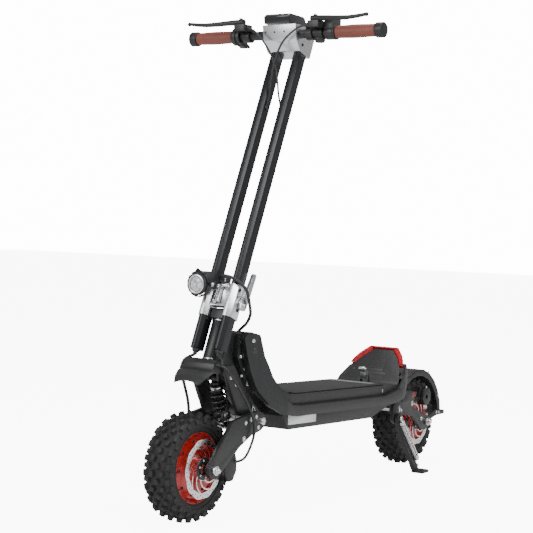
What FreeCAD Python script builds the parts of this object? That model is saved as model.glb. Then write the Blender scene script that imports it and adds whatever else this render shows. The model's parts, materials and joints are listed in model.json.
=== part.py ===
import FreeCAD, Part
import math
import os
import re

import Sketcher
from FreeCAD import Placement, Rotation, Vector

# Electric kick scooter.  Millimetres, +X ahead, +Y to the rider's left, +Z up.
# The origin is on the ground, in the middle of the overall length and width.
# Working frames carry the pieces. "rear" has its zero on the ground under the rear axle and
# "front" on the ground under the front axle. "head" lies on the steering axis, leaned back
# by the rake, with its own X forward of the axis and its own Z up along it. "bar" sits at
# the middle of the handlebar and "lamp" at the headlight, both level with the ground. The
# two shock frames start at a lower eye, with their own Z towards the upper eye.

doc = FreeCAD.newDocument("kick_scooter")
sheet = doc.addObject("Spreadsheet::Sheet", "sizes")

SIZES = {
    # running gear
    "wheelbase": 1050,
    "tyre_radius": 127.5,
    "tyre_half": 40,
    "rim_radius": 84,
    "rotor_radius": 70,
    "rotor_face": 44,
    "rotor_thick": 2,
    "axle_radius": 6,
    "running_gap": 0.05,
    "arm_inside": 65,
    "arm_thick": 10,
    "fender_gap": 17,
    "fender_wall": 3,
    # deck
    "deck_low": 220.5,
    "deck_slope": 0.0385,
    "deck_thick": 24,
    "mat_thick": 4,
    "box_half": 92,
    "box_wall": 3,
    "rail_half": 105,
    "rail_wide": 13,
    "tail_half": 60,
    # steering head and fork
    "rake": 23.5,
    "head_back": 111,
    "head_height": 420,
    "head_radius": 23,
    "head_bore": 19,
    "head_low": -64,
    "head_top": 35,
    "steerer_radius": 14,
    "crown_half": 43,
    "fork_thick": 10,
    # folding stem
    "pin_forward": 4,
    "pin_up": 49.5,
    "pin_radius": 5,
    "stem_spread": 33,
    "stem_wide": 22,
    "stem_deep": 34,
    "pin_gap": 1,
    "stem_wall": 2.5,
    "stem_low": -44,
    "stem_top": 785,
    "socket_wall": 3,
    "socket_low": 37.5,
    "socket_top": 117,
    # handlebar
    "bar_forward": 63,
    "bar_up": 770,
    "bar_half": 274,
    "bar_radius": 11.1,
    "bar_wall": 2.2,
    "grip_radius": 16.5,
    "grip_long": 110,
}

for row, (word, number) in enumerate(SIZES.items(), start=1):
    sheet.set("A%d" % row, word)
    sheet.set("B%d" % row, str(number))
    sheet.setAlias("B%d" % row, word)
doc.recompute()

WORDS = re.compile(r"\b(" + "|".join(sorted(SIZES, key=len, reverse=True)) + r")\b")
Y_UP = {"X": Rotation(Vector(0, 1, 0), 90), "Y": Rotation(Vector(1, 0, 0), -90), "Z": Rotation()}
MIDDLE = "(wheelbase - fender_gap - fender_wall) / 2"
LAMP = ("72", "102")
HEAD_X = "wheelbase - (%s) - head_back" % MIDDLE


def on_stem(forward, up):
    """Level frame at a point given in the head frame."""
    return (
        HEAD_X + " + (%s) * cos(rake) - (%s) * sin(rake)" % (forward, up),
        "head_height + (%s) * sin(rake) + (%s) * cos(rake)" % (forward, up),
        "0",
    )


def along_shock(zero, low, high):
    """Frame with its zero at the lower eye and its Z towards the upper eye."""
    lean = "atan((%s - (%s)) / (%s - (%s)))" % (high[0], low[0], high[1], low[1])
    return "%s + (%s)" % (zero, low[0]), low[1], lean


FRONT_EYES = (("-142", "210"), ("-105", "322"))
REAR_EYES = (("140", "190"), ("150", "272"))
FRAMES = {
    "rear": ("-(%s)" % MIDDLE, "0", "0"),
    "front": ("wheelbase - (%s)" % MIDDLE, "0", "0"),
    "head": (HEAD_X, "head_height", "rake"),
    "bar": on_stem("bar_forward", "bar_up"),
    "lamp": on_stem(*LAMP),
    "front_shock": along_shock("wheelbase - (%s)" % MIDDLE, *FRONT_EYES),
    "rear_shock": along_shock("-(%s)" % MIDDLE, *REAR_EYES),
}
finished = []


# ---- helpers: every number that a feature takes is an expression on the sheet ----

def bound(text):
    return WORDS.sub(r"sizes.\1", str(text))


def number(text):
    result = sheet.evalExpression(bound(text))
    return float(getattr(result, "Value", result))


def bind(thing, prop, text):
    thing.setExpression(prop, bound(text))


def at(thing, x, y, z):
    for axis, text in zip("xyz", (x, y, z)):
        bind(thing, "Placement.Base." + axis, text)


def keep(thing, label, frame):
    """Name a finished sub-part and stand it in its working frame."""
    if thing.TypeId in ("Part::Cylinder", "Part::Box"):
        thing = group(thing)
    x, z, lean = FRAMES[frame]
    if lean != "0":
        turn = Vector(0, -1, 0) if lean == "rake" else Vector(0, 1, 0)
        thing.Placement = Placement(Vector(), Rotation(turn, number(lean)))
        bind(thing, "Placement.Rotation.Angle", lean)
    at(thing, x, "0", z)
    thing.Label = label
    finished.append(thing)
    return thing


def sketch(body, plane, points, start="0", circles=()):
    """Closed outline, each corner tied to the sheet. Planes: side is X-Z, plan X-Y, face Y-Z."""
    role = {"side": "XZ_Plane", "plan": "XY_Plane", "face": "YZ_Plane"}[plane]
    made = body.newObject("Sketcher::SketchObject", "outline")
    made.AttachmentSupport = [(next(f for f in body.Origin.OriginFeatures if f.Role == role), "")]
    made.MapMode = "FlatFace"
    sign = "-" if plane == "side" else ""
    bind(made, "AttachmentOffset.Base.z", "%s(%s)" % (sign, start))
    corners = [Vector(number(x), number(y), 0) for x, y in points]
    count = len(corners)
    for i in range(count):
        made.addGeometry(Part.LineSegment(corners[i], corners[(i + 1) % count]))
    for i in range(count):
        made.addConstraint(Sketcher.Constraint("Coincident", i, 2, (i + 1) % count, 1))
    for i, (x, y) in enumerate(points):
        for kind, text, spot in (("DistanceX", x, corners[i].x), ("DistanceY", y, corners[i].y)):
            tie = made.addConstraint(Sketcher.Constraint(kind, -1, 1, i, 1, spot))
            bind(made, "Constraints[%d]" % tie, text)
    for x, y, radius in circles:
        centre = Vector(number(x), number(y), 0)
        ring = made.addGeometry(Part.Circle(centre, Vector(0, 0, 1), number(radius)))
        for kind, text, spot in (("DistanceX", x, centre.x), ("DistanceY", y, centre.y)):
            tie = made.addConstraint(Sketcher.Constraint(kind, -1, 1, ring, 3, spot))
            bind(made, "Constraints[%d]" % tie, text)
        tie = made.addConstraint(Sketcher.Constraint("Radius", ring, number(radius)))
        bind(made, "Constraints[%d]" % tie, radius)
    return made


def slab(name, plane, points, start, depth, circles=(), rounds=None):
    """A plate or block: one outline padded from start, with corners of the outline rounded."""
    body = doc.addObject("PartDesign::Body", name)
    base = sketch(body, plane, points, start, circles)
    pad = body.newObject("PartDesign::Pad", "pad")
    pad.Profile = base
    pad.Reversed = plane == "side"
    bind(pad, "Length", depth)
    doc.recompute()
    axis = {"side": 1, "plan": 2, "face": 0}[plane]
    flat = [i for i in range(3) if i != axis]
    last = pad
    for radius, picks in (rounds or {}).items():
        wanted = [[number(t) for t in points[p]] for p in picks]
        edges = []
        for index, edge in enumerate(last.Shape.Edges, start=1):
            ends = [v.Point for v in edge.Vertexes]
            if len(ends) != 2 or (ends[1] - ends[0]).Length - abs((ends[1] - ends[0])[axis]) > 1e-6:
                continue
            spot = [ends[0][flat[0]], ends[0][flat[1]]]
            if any(math.dist(spot, corner) < 1e-3 for corner in wanted):
                edges.append("Edge%d" % index)
        rounded = body.newObject("PartDesign::Fillet", "rounded")
        rounded.Base = (last, edges)
        bind(rounded, "Radius", radius)
        doc.recompute()
        last = rounded
    return body


def lathe(name, points):
    """A turned piece: an outline of (Y, radius) corners spun about the Y axis."""
    body = doc.addObject("PartDesign::Body", name)
    base = sketch(body, "face", points)
    turned = body.newObject("PartDesign::Revolution", "turned")
    turned.Profile = base
    turned.ReferenceAxis = (base, ["H_Axis"])
    turned.Angle = 360
    return body


def cylinder(radius, length, x, y, z, axis="Y"):
    made = doc.addObject("Part::Cylinder", "cylinder")
    made.Placement = Placement(Vector(), Y_UP[axis])
    bind(made, "Radius", radius)
    bind(made, "Height", length)
    at(made, x, y, z)
    return made


def block(long, wide, high, x, y, z):
    made = doc.addObject("Part::Box", "block")
    bind(made, "Length", long)
    bind(made, "Width", wide)
    bind(made, "Height", high)
    at(made, x, y, z)
    return made


def join(kind, things):
    made = doc.addObject(kind, "joined")
    if kind in ("Part::MultiFuse", "Part::MultiCommon"):
        made.Shapes = things
    else:
        made.Links = things
    return made


def fuse(*things):
    return join("Part::MultiFuse", list(things))


def common(*things):
    return join("Part::MultiCommon", list(things))


def group(*things):
    return join("Part::Compound", list(things))


def cut(base, *tools):
    made = doc.addObject("Part::Cut", "cut")
    made.Base = base
    made.Tool = tools[0] if len(tools) == 1 else fuse(*tools)
    return made


def mirror(source):
    made = doc.addObject("Part::Mirroring", "mirrored")
    made.Source = source
    made.Base = Vector(0, 0, 0)
    made.Normal = Vector(0, 1, 0)
    return made


def tube(outer, inner, length, x, y, z, axis="Y"):
    return cut(cylinder(outer, length, x, y, z, axis), cylinder(inner, length, x, y, z, axis))


# ---- deck: battery box, cover, mat, rails, neck ----


def deck_line(x, lift="0"):
    """Height of the sloping deck seam over a point, plus a lift."""
    return "deck_low + deck_slope * (%s) + (%s)" % (x, lift)


NOSE = "wheelbase - 265"
box_outer = [
    (236, deck_line(236)), (236, 206), (356, 176), ("wheelbase - 282", 190),
    ("wheelbase - 258", 226), (NOSE, deck_line(NOSE)),
]
box_inner = [
    ("236 + box_wall", deck_line(236, "1")), ("236 + box_wall", "206 + box_wall"),
    (356, "176 + box_wall"), ("wheelbase - 282 - box_wall", "190 + box_wall"),
    ("wheelbase - 258 - 2 * box_wall", 228), ("wheelbase - 265 - 2 * box_wall", deck_line(NOSE, "1")),
]
deck_box = cut(
    slab("box_outside", "side", box_outer, "-box_half", "2 * box_half", rounds={"6": [2, 3]}),
    slab("box_inside", "side", box_inner, "-box_half + box_wall", "2 * box_half - 2 * box_wall"),
)
keep(deck_box, "deck_box", "rear")



def tub_floor(x):
    """Height of the tub's sloping floor, inside, at a distance ahead of the rear axle."""
    return "176 + box_wall + 14 * ((%s) - 356) / (wheelbase - 641)" % x


battery = slab("battery", "side", [
    (372, tub_floor(372) + " + 2"), ("wheelbase - 410", tub_floor("wheelbase - 410") + " + 2"),
    ("wheelbase - 410", deck_line("wheelbase - 410", "-4")), (372, deck_line(372, "-4")),
], "-box_half + 8", "2 * box_half - 16")
keep(battery, "battery_pack", "rear")
keep(block(96, 120, 30, "wheelbase - 398", -60, 204), "motor_controller", "rear")

KICK = "wheelbase - 314"
cover = common(
    slab("cover_side", "side", [
        (214, deck_line(214)), (KICK, deck_line(KICK)),
        ("wheelbase - 276", deck_line("wheelbase - 276", 5.7)),
        ("wheelbase - 250", deck_line("wheelbase - 250", 28.7)),
        ("wheelbase - 232", deck_line("wheelbase - 232", 60)),
        ("wheelbase - 240", deck_line("wheelbase - 240", 66)),
        ("wheelbase - 262", deck_line("wheelbase - 262", 41)),
        ("wheelbase - 290", deck_line("wheelbase - 290", 26)), (KICK, deck_line(KICK, "deck_thick")),
        (214, deck_line(214, "deck_thick")),
    ], "-100", "200", rounds={"14": [1, 8], "12": [2, 7]}),
    slab("cover_plan", "plan", [
        (214, -92), ("wheelbase - 290", -92), ("wheelbase - 235", -72), ("wheelbase - 225", -56),
        ("wheelbase - 225", 56), ("wheelbase - 235", 72), ("wheelbase - 290", 92), (214, 92),
    ], "150", "200", rounds={"20": [1, 6]}),
)
hook_ear = slab("hook_ear", "side", [
    (228, deck_line(228, "deck_thick - 1")), (244, deck_line(244, "deck_thick - 1")),
    (240, 274), (232, 274),
], "9", "5", circles=[(236, 268, 2.5)])
keep(fuse(cover, hook_ear, mirror(hook_ear), cylinder(2.5, 28, 236, -14, 268)), "deck_cover", "rear")

mat = common(
    slab("mat_side", "side", [
        (268, deck_line(268, "deck_thick")), ("wheelbase - 322", deck_line("wheelbase - 322", "deck_thick")),
        ("wheelbase - 322", deck_line("wheelbase - 322", "deck_thick + mat_thick")),
        (268, deck_line(268, "deck_thick + mat_thick")),
    ], "-84", "168"),
    slab("mat_plan", "plan", [
        (268, -84), ("wheelbase - 322", -84), ("wheelbase - 322", 84), (268, 84),
    ], "200", "150", rounds={"18": [0, 1, 2, 3]}),
)
keep(mat, "deck_mat", "rear")


TAIL_INSIDE = "tail_half + 20 - rail_wide"


def rail(side):
    """One hollow-backed rail: bar beside the deck, horn up to the neck, tail up to the footrest."""
    low, high = "-2", "-27"
    profile = slab("rail_side", "side", [
        (124, 292), (137, 303), (188, 264), (214, 243), (300, deck_line(300, low)),
        ("wheelbase - 318", deck_line("wheelbase - 318", low)), ("wheelbase - 282", 252),
        ("wheelbase - 257", 264), ("wheelbase - 233", 290), ("wheelbase - 214", 325),
        ("wheelbase - 196", 372), ("wheelbase - 186", 424), ("wheelbase - 160", 432),
        ("wheelbase - 147", 416), ("wheelbase - 156", 372), ("wheelbase - 166", 334),
        ("wheelbase - 184", 289), ("wheelbase - 209", 254), ("wheelbase - 247", 231),
        ("wheelbase - 300", deck_line("wheelbase - 300", high)), (300, deck_line(300, high)),
        (236, 206), (196, 214), (160, 250),
    ], "-rail_half", "2 * rail_half", rounds={
        "20": [3, 22], "14": [6, 7, 18, 19], "30": [8, 9, 16, 17], "8": [11, 12, 13],
    })
    outer = [
        (118, "tail_half"), (140, "tail_half + 20"), (158, "tail_half + 34"),
        (190, "rail_half - 1"), (214, "rail_half"), ("wheelbase - 258", "rail_half"),
        ("wheelbase - 228", "rail_half - 8"),
        ("wheelbase - 203", "rail_half - 22"), ("wheelbase - 178", "rail_half - 42"),
        ("wheelbase - 140", "rail_half - 57"),
    ]
    inner = [(x, "%s - rail_wide" % y) for x, y in outer[1:]]
    inner.insert(0, (118, "tail_half - rail_wide"))
    inner[-1] = ("wheelbase - 140", "36.2")
    inner[-2] = ("wheelbase - 178", "rail_half - 63")
    band = slab("rail_plan", "plan", outer + inner[::-1], "150", "320", rounds={"30": [5, 6, 7]})
    shape = common(profile, band)
    return shape if side > 0 else mirror(shape)


keep(group(rail(1), rail(-1)), "side_rails", "rear")

neck_wide = slab("neck_wide", "side", [
    ("wheelbase - 264", deck_line("wheelbase - 264", "6")), ("wheelbase - 238", 234),
    ("wheelbase - 212", 256), ("wheelbase - 180", 298), ("wheelbase - 158", 338),
    ("wheelbase - 140", 372), ("wheelbase - 148", 424), ("wheelbase - 162", 432),
    ("wheelbase - 190", 420), ("wheelbase - 200", 372), ("wheelbase - 220", 325),
    ("wheelbase - 240", 290),
], "-36", "72", rounds={"10": [6, 7, 8]})
neck_web = slab("neck_web", "side", [
    ("wheelbase - 165", 345), ("wheelbase - 118", 362), ("wheelbase - 92", 372),
    ("wheelbase - 120", 436), ("wheelbase - 160", 420),
], "-19", "38")
head_shape = cylinder("head_radius", "head_top - head_low", 0, 0, "head_low", "Z")


def column(radius, low, high, zero):
    """A cylinder along the steering axis, for pieces drawn in a level frame."""
    made = cylinder(radius, "(%s) - (%s)" % (high, low), 0, 0, 0, "Z")
    made.Placement = Placement(Vector(), Rotation(Vector(0, -1, 0), SIZES["rake"]))
    bind(made, "Placement.Rotation.Angle", "rake")
    at(made, "%s - head_back - (%s) * sin(rake)" % (zero, low), 0, "head_height + (%s) * cos(rake)" % low)
    return made


neck = cut(fuse(neck_wide, neck_web), column("head_radius", "head_low - 20", "head_top + 20", "wheelbase"))
keep(neck, "neck_block", "rear")

head_tube = cut(head_shape, cylinder("head_bore", "head_top - head_low", 0, 0, "head_low", "Z"))
keep(head_tube, "head_tube", "head")
bearings = [
    tube("head_bore", "steerer_radius + running_gap", "9", "0", "0", z, "Z")
    for z in ("head_low", "head_top - 9")
]
keep(group(*bearings), "headset_bearings", "head")

# ---- footrest, rear light, hook, rear brackets ----


def ramp(x, lift):
    """A point on the footrest's slope, by its distance behind the slope's foot, lifted square to it."""
    return ("204 - (%s) * 0.7 + (%s) * 0.715" % (x, lift), "258 + (%s) * 0.7167 + (%s) * 0.7" % (x, lift))


footrest_side = slab("footrest_side", "side", [
    (213.5, deck_line(213.5)), (213.5, deck_line(213.5, "deck_thick")), ramp(0, 0), ramp(112, 0),
    ramp(112, -14), ramp(12, -14), (196, 234),
], "-100", "200", rounds={"3": [2, 3]})
footrest_plan = slab("footrest_plan", "plan", [
    (214, -92), (214, 92), (200, 89), (170, 74), (147, 56), (130, 34), (90, 34), (90, -34),
    (130, -34), (147, -56), (170, -74), (200, -89),
], "150", "250")
keep(common(footrest_side, footrest_plan), "footrest", "rear")

light_side = slab("light_side", "side", [
    ramp(54, 3), ramp(120, 3), ramp(120, -14), ramp(60, -14),
], "-100", "200", rounds={"4": [1]})
light_plan = cut(
    slab("light_plan", "plan", [
        (175, -85), (175, 85), (158, 79), (143, 68), (124, 45), (110, 40), (90, 40), (90, -40),
        (110, -40), (124, -45), (143, -68), (158, -79),
    ], "150", "250"),
    common(
        slab("light_hole", "plan", [
            (200, -89.3), (200, 89.3), (170, 74.3), (147, 56.3), (129.7, 34.3), (90, 34.3),
            (90, -34.3), (129.7, -34.3), (147, -56.3), (170, -74.3),
        ], "150", "250"),
        slab("light_cap", "side", [
            ramp(-40, 30), ramp("112.3", 30), ramp("112.3", -40), ramp(-40, -40),
        ], "-100", "200"),
    ),
)
keep(common(light_side, light_plan), "rear_light", "rear")

hook = slab("hook", "side", [
    (230, 262), (243, 262), (243, 282), (252, 290), (252, 298), (240, 296), (230, 284),
], "-8.5", "17", circles=[(236, 268, "2.5 + running_gap")], rounds={"3": [3, 4, 5]})
keep(hook, "stem_hook", "rear")

EAR = "arm_inside + arm_thick + 1.5"
PIVOT = 8
ear = slab("ear", "side", [
    (236, 228), (218, 228), (205, 212), (176, 203), (164, 190), (164, 172), (180, 160), (212, 163),
    (236, 206),
], EAR, "9.5", circles=[(190, 182, PIVOT)], rounds={"8": [4, 5, 6]})
yoke = fuse(ear, mirror(ear), block(20, "2 * (%s)" % EAR, 21, 216, "-(%s)" % EAR, 207))
cross_pin = cylinder(6, "2 * (%s)" % TAIL_INSIDE, 150, "-(%s)" % TAIL_INSIDE, 272)
keep(group(yoke, cross_pin), "rear_brackets", "rear")
keep(cylinder(PIVOT, "2 * (%s) + 19" % EAR, 190, "-(%s) - 9.5" % EAR, 182), "rear_pivot", "rear")

STAND = "%s + 9.5" % EAR
stand_plate = slab("stand_plate", "side", [
    (236, 203), (206, 203), (204, 152), (222, 144), (242, 156),
], STAND, "10", rounds={"6": [2, 3, 4]})
stand_bracket = fuse(stand_plate, cylinder(6, 26, 223, STAND, 162))
keep(stand_bracket, "stand_bracket", "rear")
leg = slab("leg", "side", [
    (231, 150), (237, 164), (224, 177), (211, 170), (103, 8), (128, 8),
], "%s + 11" % STAND, "12", circles=[(223, 162, "6 + running_gap")], rounds={"6": [0, 1, 2, 3]})
keep(fuse(leg, block(38, 35, 8, 87, "%s + 11" % STAND, 0)), "stand_leg", "rear")


# ---- wheels, arms, shocks: the same builders serve front and rear ----


def wheel(end):
    tyre = lathe("tyre", [
        (-30, "rim_radius"), (30, "rim_radius"), ("tyre_half - 3", "rim_radius + 10"),
        ("tyre_half", "rim_radius + 23"), ("tyre_half - 5", "tyre_radius - 7"),
        ("tyre_half - 19", "tyre_radius"), ("19 - tyre_half", "tyre_radius"),
        ("5 - tyre_half", "tyre_radius - 7"), ("-tyre_half", "rim_radius + 23"),
        ("3 - tyre_half", "rim_radius + 10"),
    ])
    hub = lathe("hub", [
        (-30, "axle_radius + running_gap"), ("rotor_face", "axle_radius + running_gap"),
        ("rotor_face", 24), (30, 30), (23, 36), (21, "rim_radius - 14"), (27, "rim_radius - 8"),
        (30, "rim_radius"), (-30, "rim_radius"), (-27, "rim_radius - 8"),
        (-21, "rim_radius - 14"), (-23, 36), (-30, 30),
    ])
    rotor = lathe("rotor", [
        ("rotor_face", "axle_radius + 3"), ("rotor_face + rotor_thick", "axle_radius + 3"),
        ("rotor_face + rotor_thick", "rotor_radius"), ("rotor_face", "rotor_radius"),
    ])
    for piece, label in ((tyre, "tyre"), (hub, "hub"), (rotor, "rotor")):
        keep(piece, "%s_%s" % (end, label), end)
        bind(piece, "Placement.Base.z", "tyre_radius")


def axle(end):
    outside = "arm_inside + arm_thick"
    bar = cylinder("axle_radius", "2 * (%s) + 6" % outside, 0, "-(%s) - 3" % outside, 0)
    nut = fuse(
        tube(11, "axle_radius", 3, 0, outside, 0),
        cylinder(11, 5, 0, "%s + 3" % outside, 0),
    )
    made = keep(group(bar, nut, mirror(nut)), end + "_axle", end)
    bind(made, "Placement.Base.z", "tyre_radius")


def arm(end, points, pivot, eye, rounds):
    plate = slab("arm_plate", "side", points, "arm_inside", "arm_thick", circles=[
        (pivot[0], pivot[1], "%d + running_gap" % PIVOT), (0, "tyre_radius", "axle_radius"),
    ], rounds=rounds)
    boss = cylinder(9, "arm_inside - 13 + 1", eye[0], 13, eye[1])
    pin = cylinder(5.5, "2 * arm_inside - 10", eye[0], "5 - arm_inside", eye[1])
    keep(fuse(plate, mirror(plate), boss, mirror(boss), pin), end + "_arm", end)


def shock(end, eyes, spring_radius):
    (x0, z0), (x1, z1) = eyes
    length = "sqrt((%s - (%s))^2 + (%s - (%s))^2)" % (x1, x0, z1, z0)
    frame = end + "_shock"
    barrel = cylinder(spring_radius - 8, length + " - 48", 0, 0, 40, "Z")
    seat = cylinder(spring_radius, 3, 0, 0, length + " - 17", "Z")
    eye = cylinder(9, 19, 0, -9.5, length)
    body = cut(
        fuse(barrel, seat, eye),
        cylinder(6, 19, 0, -9.5, length),
        cylinder(4.1, length + " - 56", 0, 0, 40, "Z"),
    )
    keep(body, end + "_shock_body", frame)
    stem = cylinder(4, length + " - 40", 0, 0, 9, "Z")
    low_seat = cylinder(spring_radius, 3, 0, 0, 14, "Z")
    rod = cut(fuse(stem, low_seat, cylinder(12, 19, 0, -9.5, 0)), cylinder(8, 19, 0, -9.5, 0))
    keep(rod, end + "_shock_rod", frame)
    coil = tube(spring_radius, spring_radius - 4, length + " - 34.4", 0, 0, 17.2, "Z")
    keep(coil, end + "_spring", frame)


wheel("front")
wheel("rear")
axle("front")
axle("rear")
arm("front", [
    (-204, 236), (-180, 244), (-146, 241), (-74, 231), (22, "tyre_radius + 6.5"),
    (12, "tyre_radius - 19"), (-14, "tyre_radius - 21"), (-101, 168), (-150, 190), (-188, 197),
    (-207, 208),
], (-188, 220), FRONT_EYES[0], {"12": [0, 1, 9, 10], "10": [4, 5, 6], "20": [3, 7]})
arm("rear", [
    (206, 200), (158, 197), (111, 226), (84, 222), (98, 182), (14, "tyre_radius + 22"),
    (-18, "tyre_radius + 14"), (-20, "tyre_radius - 15"), (6, "tyre_radius - 23"),
    (29, "tyre_radius - 21"), (87, 152), (160, 163), (205, 166),
], (190, 182), REAR_EYES[0], {"10": [0, 12], "8": [2, 3], "9": [6, 7], "6": [8, 9], "14": [4]})
shock("front", FRONT_EYES, 20)
shock("rear", REAR_EYES, 18)


def caliper(x, z, long, high, edge, brake_pad):
    """Brake caliper: an outer block, a bridge past the rotor's edge and an inner pad."""
    outer_face = "rotor_face + rotor_thick + 1.5"
    inner_face = "rotor_face - 0.8"
    outer = block(long, "arm_inside - (%s)" % outer_face, high, x, outer_face, z)
    bridge = block(edge[1], "rotor_thick + 4.8", edge[3], edge[0], "rotor_face - 2.8", edge[2])
    pad = block(brake_pad[1], 2, brake_pad[3], brake_pad[0], "%s - 2" % inner_face, brake_pad[2])
    return fuse(outer, bridge, pad)


front_caliper = caliper(
    -106, "tyre_radius - 38", 48, 70,
    ("-rotor_radius - 12", 10, "tyre_radius - 20", 34),
    ("-rotor_radius - 3", 16, "tyre_radius - 18", 30),
)
keep(front_caliper, "front_caliper", "front")
rear_plate = slab("caliper_plate", "side", [
    (-16, "tyre_radius - 6"), (14, "tyre_radius - 6"), (16, "tyre_radius + 20"),
    (4, "tyre_radius + 60"), (-30, "tyre_radius + 60"),
], "arm_inside - 5", "5", circles=[(0, "tyre_radius", "axle_radius + 1")])
rear_block = caliper(
    -45, "tyre_radius + 44", 50, 48,
    (-38, 34, "tyre_radius + rotor_radius + 2", 10),
    (-36, 30, "tyre_radius + rotor_radius - 13", 16),
)
keep(fuse(rear_block, rear_plate), "rear_caliper", "rear")


def arc_points(radius, angles):
    """Points of an arc about the axle, from angles in degrees up from straight ahead."""
    return [("(%s) * cos(%g)" % (radius, a), "tyre_radius + (%s) * sin(%g)" % (radius, a)) for a in angles]


SWEEP = range(58, 179, 15)
fender_band = slab(
    "fender", "side",
    arc_points("tyre_radius + fender_gap + fender_wall", SWEEP)
    + arc_points("tyre_radius + fender_gap", list(SWEEP)[::-1]),
    "-tyre_half - 4", "2 * tyre_half + 8",
)
strut = slab("strut", "side", [
    (-24, "tyre_radius + 10"), (-24, "tyre_radius - 4"), (-84, "tyre_radius + 8"),
    (-136, "tyre_radius + 8"), (-134, "tyre_radius + 20"), (-84, "tyre_radius + 24"),
], "arm_inside - 5", "5")
foot = block(24, "arm_inside - tyre_half - 9", 10, -136, "tyre_half + 4", "tyre_radius + 9")
skirt = slab(
    "skirt", "side",
    arc_points("tyre_radius + fender_gap + fender_wall", SWEEP)
    + arc_points("tyre_radius + 1", list(SWEEP)[::-1]),
    "tyre_half + 4", "fender_wall",
)
fender = fuse(
    fender_band, strut, mirror(strut), foot, mirror(foot), skirt, mirror(skirt))
keep(fender, "rear_fender", "rear")

# ---- fork ----

UPPER_EYE = FRONT_EYES[1]
crown_block = slab("crown", "side", [
    (-109, 350), (-59.4, 371.6), (-46, 371), (-36, 364), (-32, 354), (-32, 341), (-60, 340),
    (-112, 337), (-120, 341),
], "-crown_half", "2 * crown_half", rounds={"4": [2, 3]})
lug = slab("lug", "side", [
    (-117, 316.5), (-93, 316.5), (-90, 346), (-116, 346),
], "10.5", "6")
eye_pin = cylinder(5.9, 33, UPPER_EYE[0], -16.5, UPPER_EYE[1])
crown = cut(
    fuse(crown_block, lug, mirror(lug), eye_pin),
    column("steerer_radius", "head_low - 60", "head_top", "0"),
)
keep(crown, "fork_crown", "front")
fork_plate = slab("fork_plate", "side", [
    (-61, 356), (-104, 356), (-172, 268), (-210, 235), (-207, 210), (-188, 201), (-173, 206),
    (-163, 235), (-127, 235),
], "crown_half", "fork_thick", circles=[(-188, 220, PIVOT)], rounds={"12": [2, 3], "6": [4, 5, 8]})
keep(group(fork_plate, mirror(fork_plate)), "fork_plates", "front")
keep(cylinder(PIVOT, "2 * (arm_inside + arm_thick) + 14", -188, "-arm_inside - arm_thick - 7", 220),
     "front_pivot", "front")
visor = slab("visor", "side", [
    (-32, 352), (-18, 348), (0, 340), (15, 328), (13, 325), (-2, 336), (-20, 344), (-32, 347.5),
], "-50", "100", rounds={"12": [1, 2, 5, 6]})
keep(visor, "front_fender", "front")

hinge_block = slab("hinge_block", "side", [
    (-16, "head_top + 1"), (28, "head_top + 1"), (28, "pin_up + 8"), (22, "pin_up + 12"),
    ("pin_forward - 10", "pin_up + 12"), (-16, "pin_up + 2"),
], "-17.5", "35", rounds={"3": [2, 3, 4, 5]})
steerer = cut(
    fuse(hinge_block, cylinder("steerer_radius", "head_top - head_low + 21", 0, 0, "head_low - 20", "Z")),
    cylinder("pin_radius", 35, "pin_forward", -17.5, "pin_up"),
)
keep(steerer, "steerer", "head")
keep(cylinder("pin_radius", 66, "pin_forward", -33, "pin_up"), "hinge_pin", "head")

# ---- folding stem ----


def stem_section(grow, low, high):
    """One stem tube's outside, a D with its round side forward, grown by a wall."""
    half = "(stem_wide / 2 + (%s))" % grow
    back = "pin_forward + pin_radius + pin_gap - (%s)" % grow
    flat = "pin_forward + pin_radius + pin_gap + stem_deep - 7"
    nose = "%s + 7 + (%s)" % (flat, grow)
    return slab("stem_section", "plan", [
        (back, "stem_spread - %s" % half), (flat, "stem_spread - %s" % half),
        (nose, "stem_spread - 3.5"), (nose, "stem_spread + 3.5"),
        (flat, "stem_spread + %s" % half), (back, "stem_spread + %s" % half),
    ], low, "(%s) - (%s)" % (high, low), rounds={"3": [0, 5], "4": [1, 4]})


solid_stem = stem_section("0", "stem_low", "stem_top")
hollow = stem_section("-stem_wall", "stem_low + 6", "stem_top + 1")
stem = cut(solid_stem, hollow)
keep(group(stem, mirror(stem)), "stem_tubes", "head")

socket = fuse(
    stem_section("socket_wall", "socket_low", "socket_top"),
    cylinder(12, 16, "pin_forward", 18.5, "pin_up"),
)
stem_space = stem_section("0", "stem_low - 1", "stem_top + 1")
fold_web = block(18, "2 * stem_spread - stem_wide", "socket_top - (pin_up + 13.5)",
                 20, "stem_wide / 2 - stem_spread", "pin_up + 13.5")
fold_block = cut(
    fuse(socket, mirror(socket), fold_web),
    stem_space, mirror(stem_space),
    cylinder("pin_radius + running_gap", 80, "pin_forward", -40, "pin_up"),
)
cam_pin = cut(cylinder(4, 14, 12, "stem_spread + stem_wide / 2 + socket_wall - 2.5", 75), stem_space)
keep(fuse(fold_block, cam_pin), "fold_block", "head")

lever_blade = slab("lever_blade", "side", [
    (2, 64), (20, 62), (24, 78), (14, 100), (4, 160), (-8, 159), (-4, 96),
], "stem_spread + stem_wide / 2 + socket_wall + 1.5", "8", circles=[(12, 75, "4 + running_gap")],
    rounds={"5": [0, 1, 2], "4": [4, 5]})
keep(lever_blade, "fold_lever", "head")

# ---- handlebar, display, controls ----


def level(x, z):
    """A point level with the ground beside the handlebar, given in the head frame."""
    return (
        "bar_forward + (%s) * cos(rake) + (%s) * sin(rake)" % (x, z),
        "bar_up - (%s) * sin(rake) + (%s) * cos(rake)" % (x, z),
    )


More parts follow.
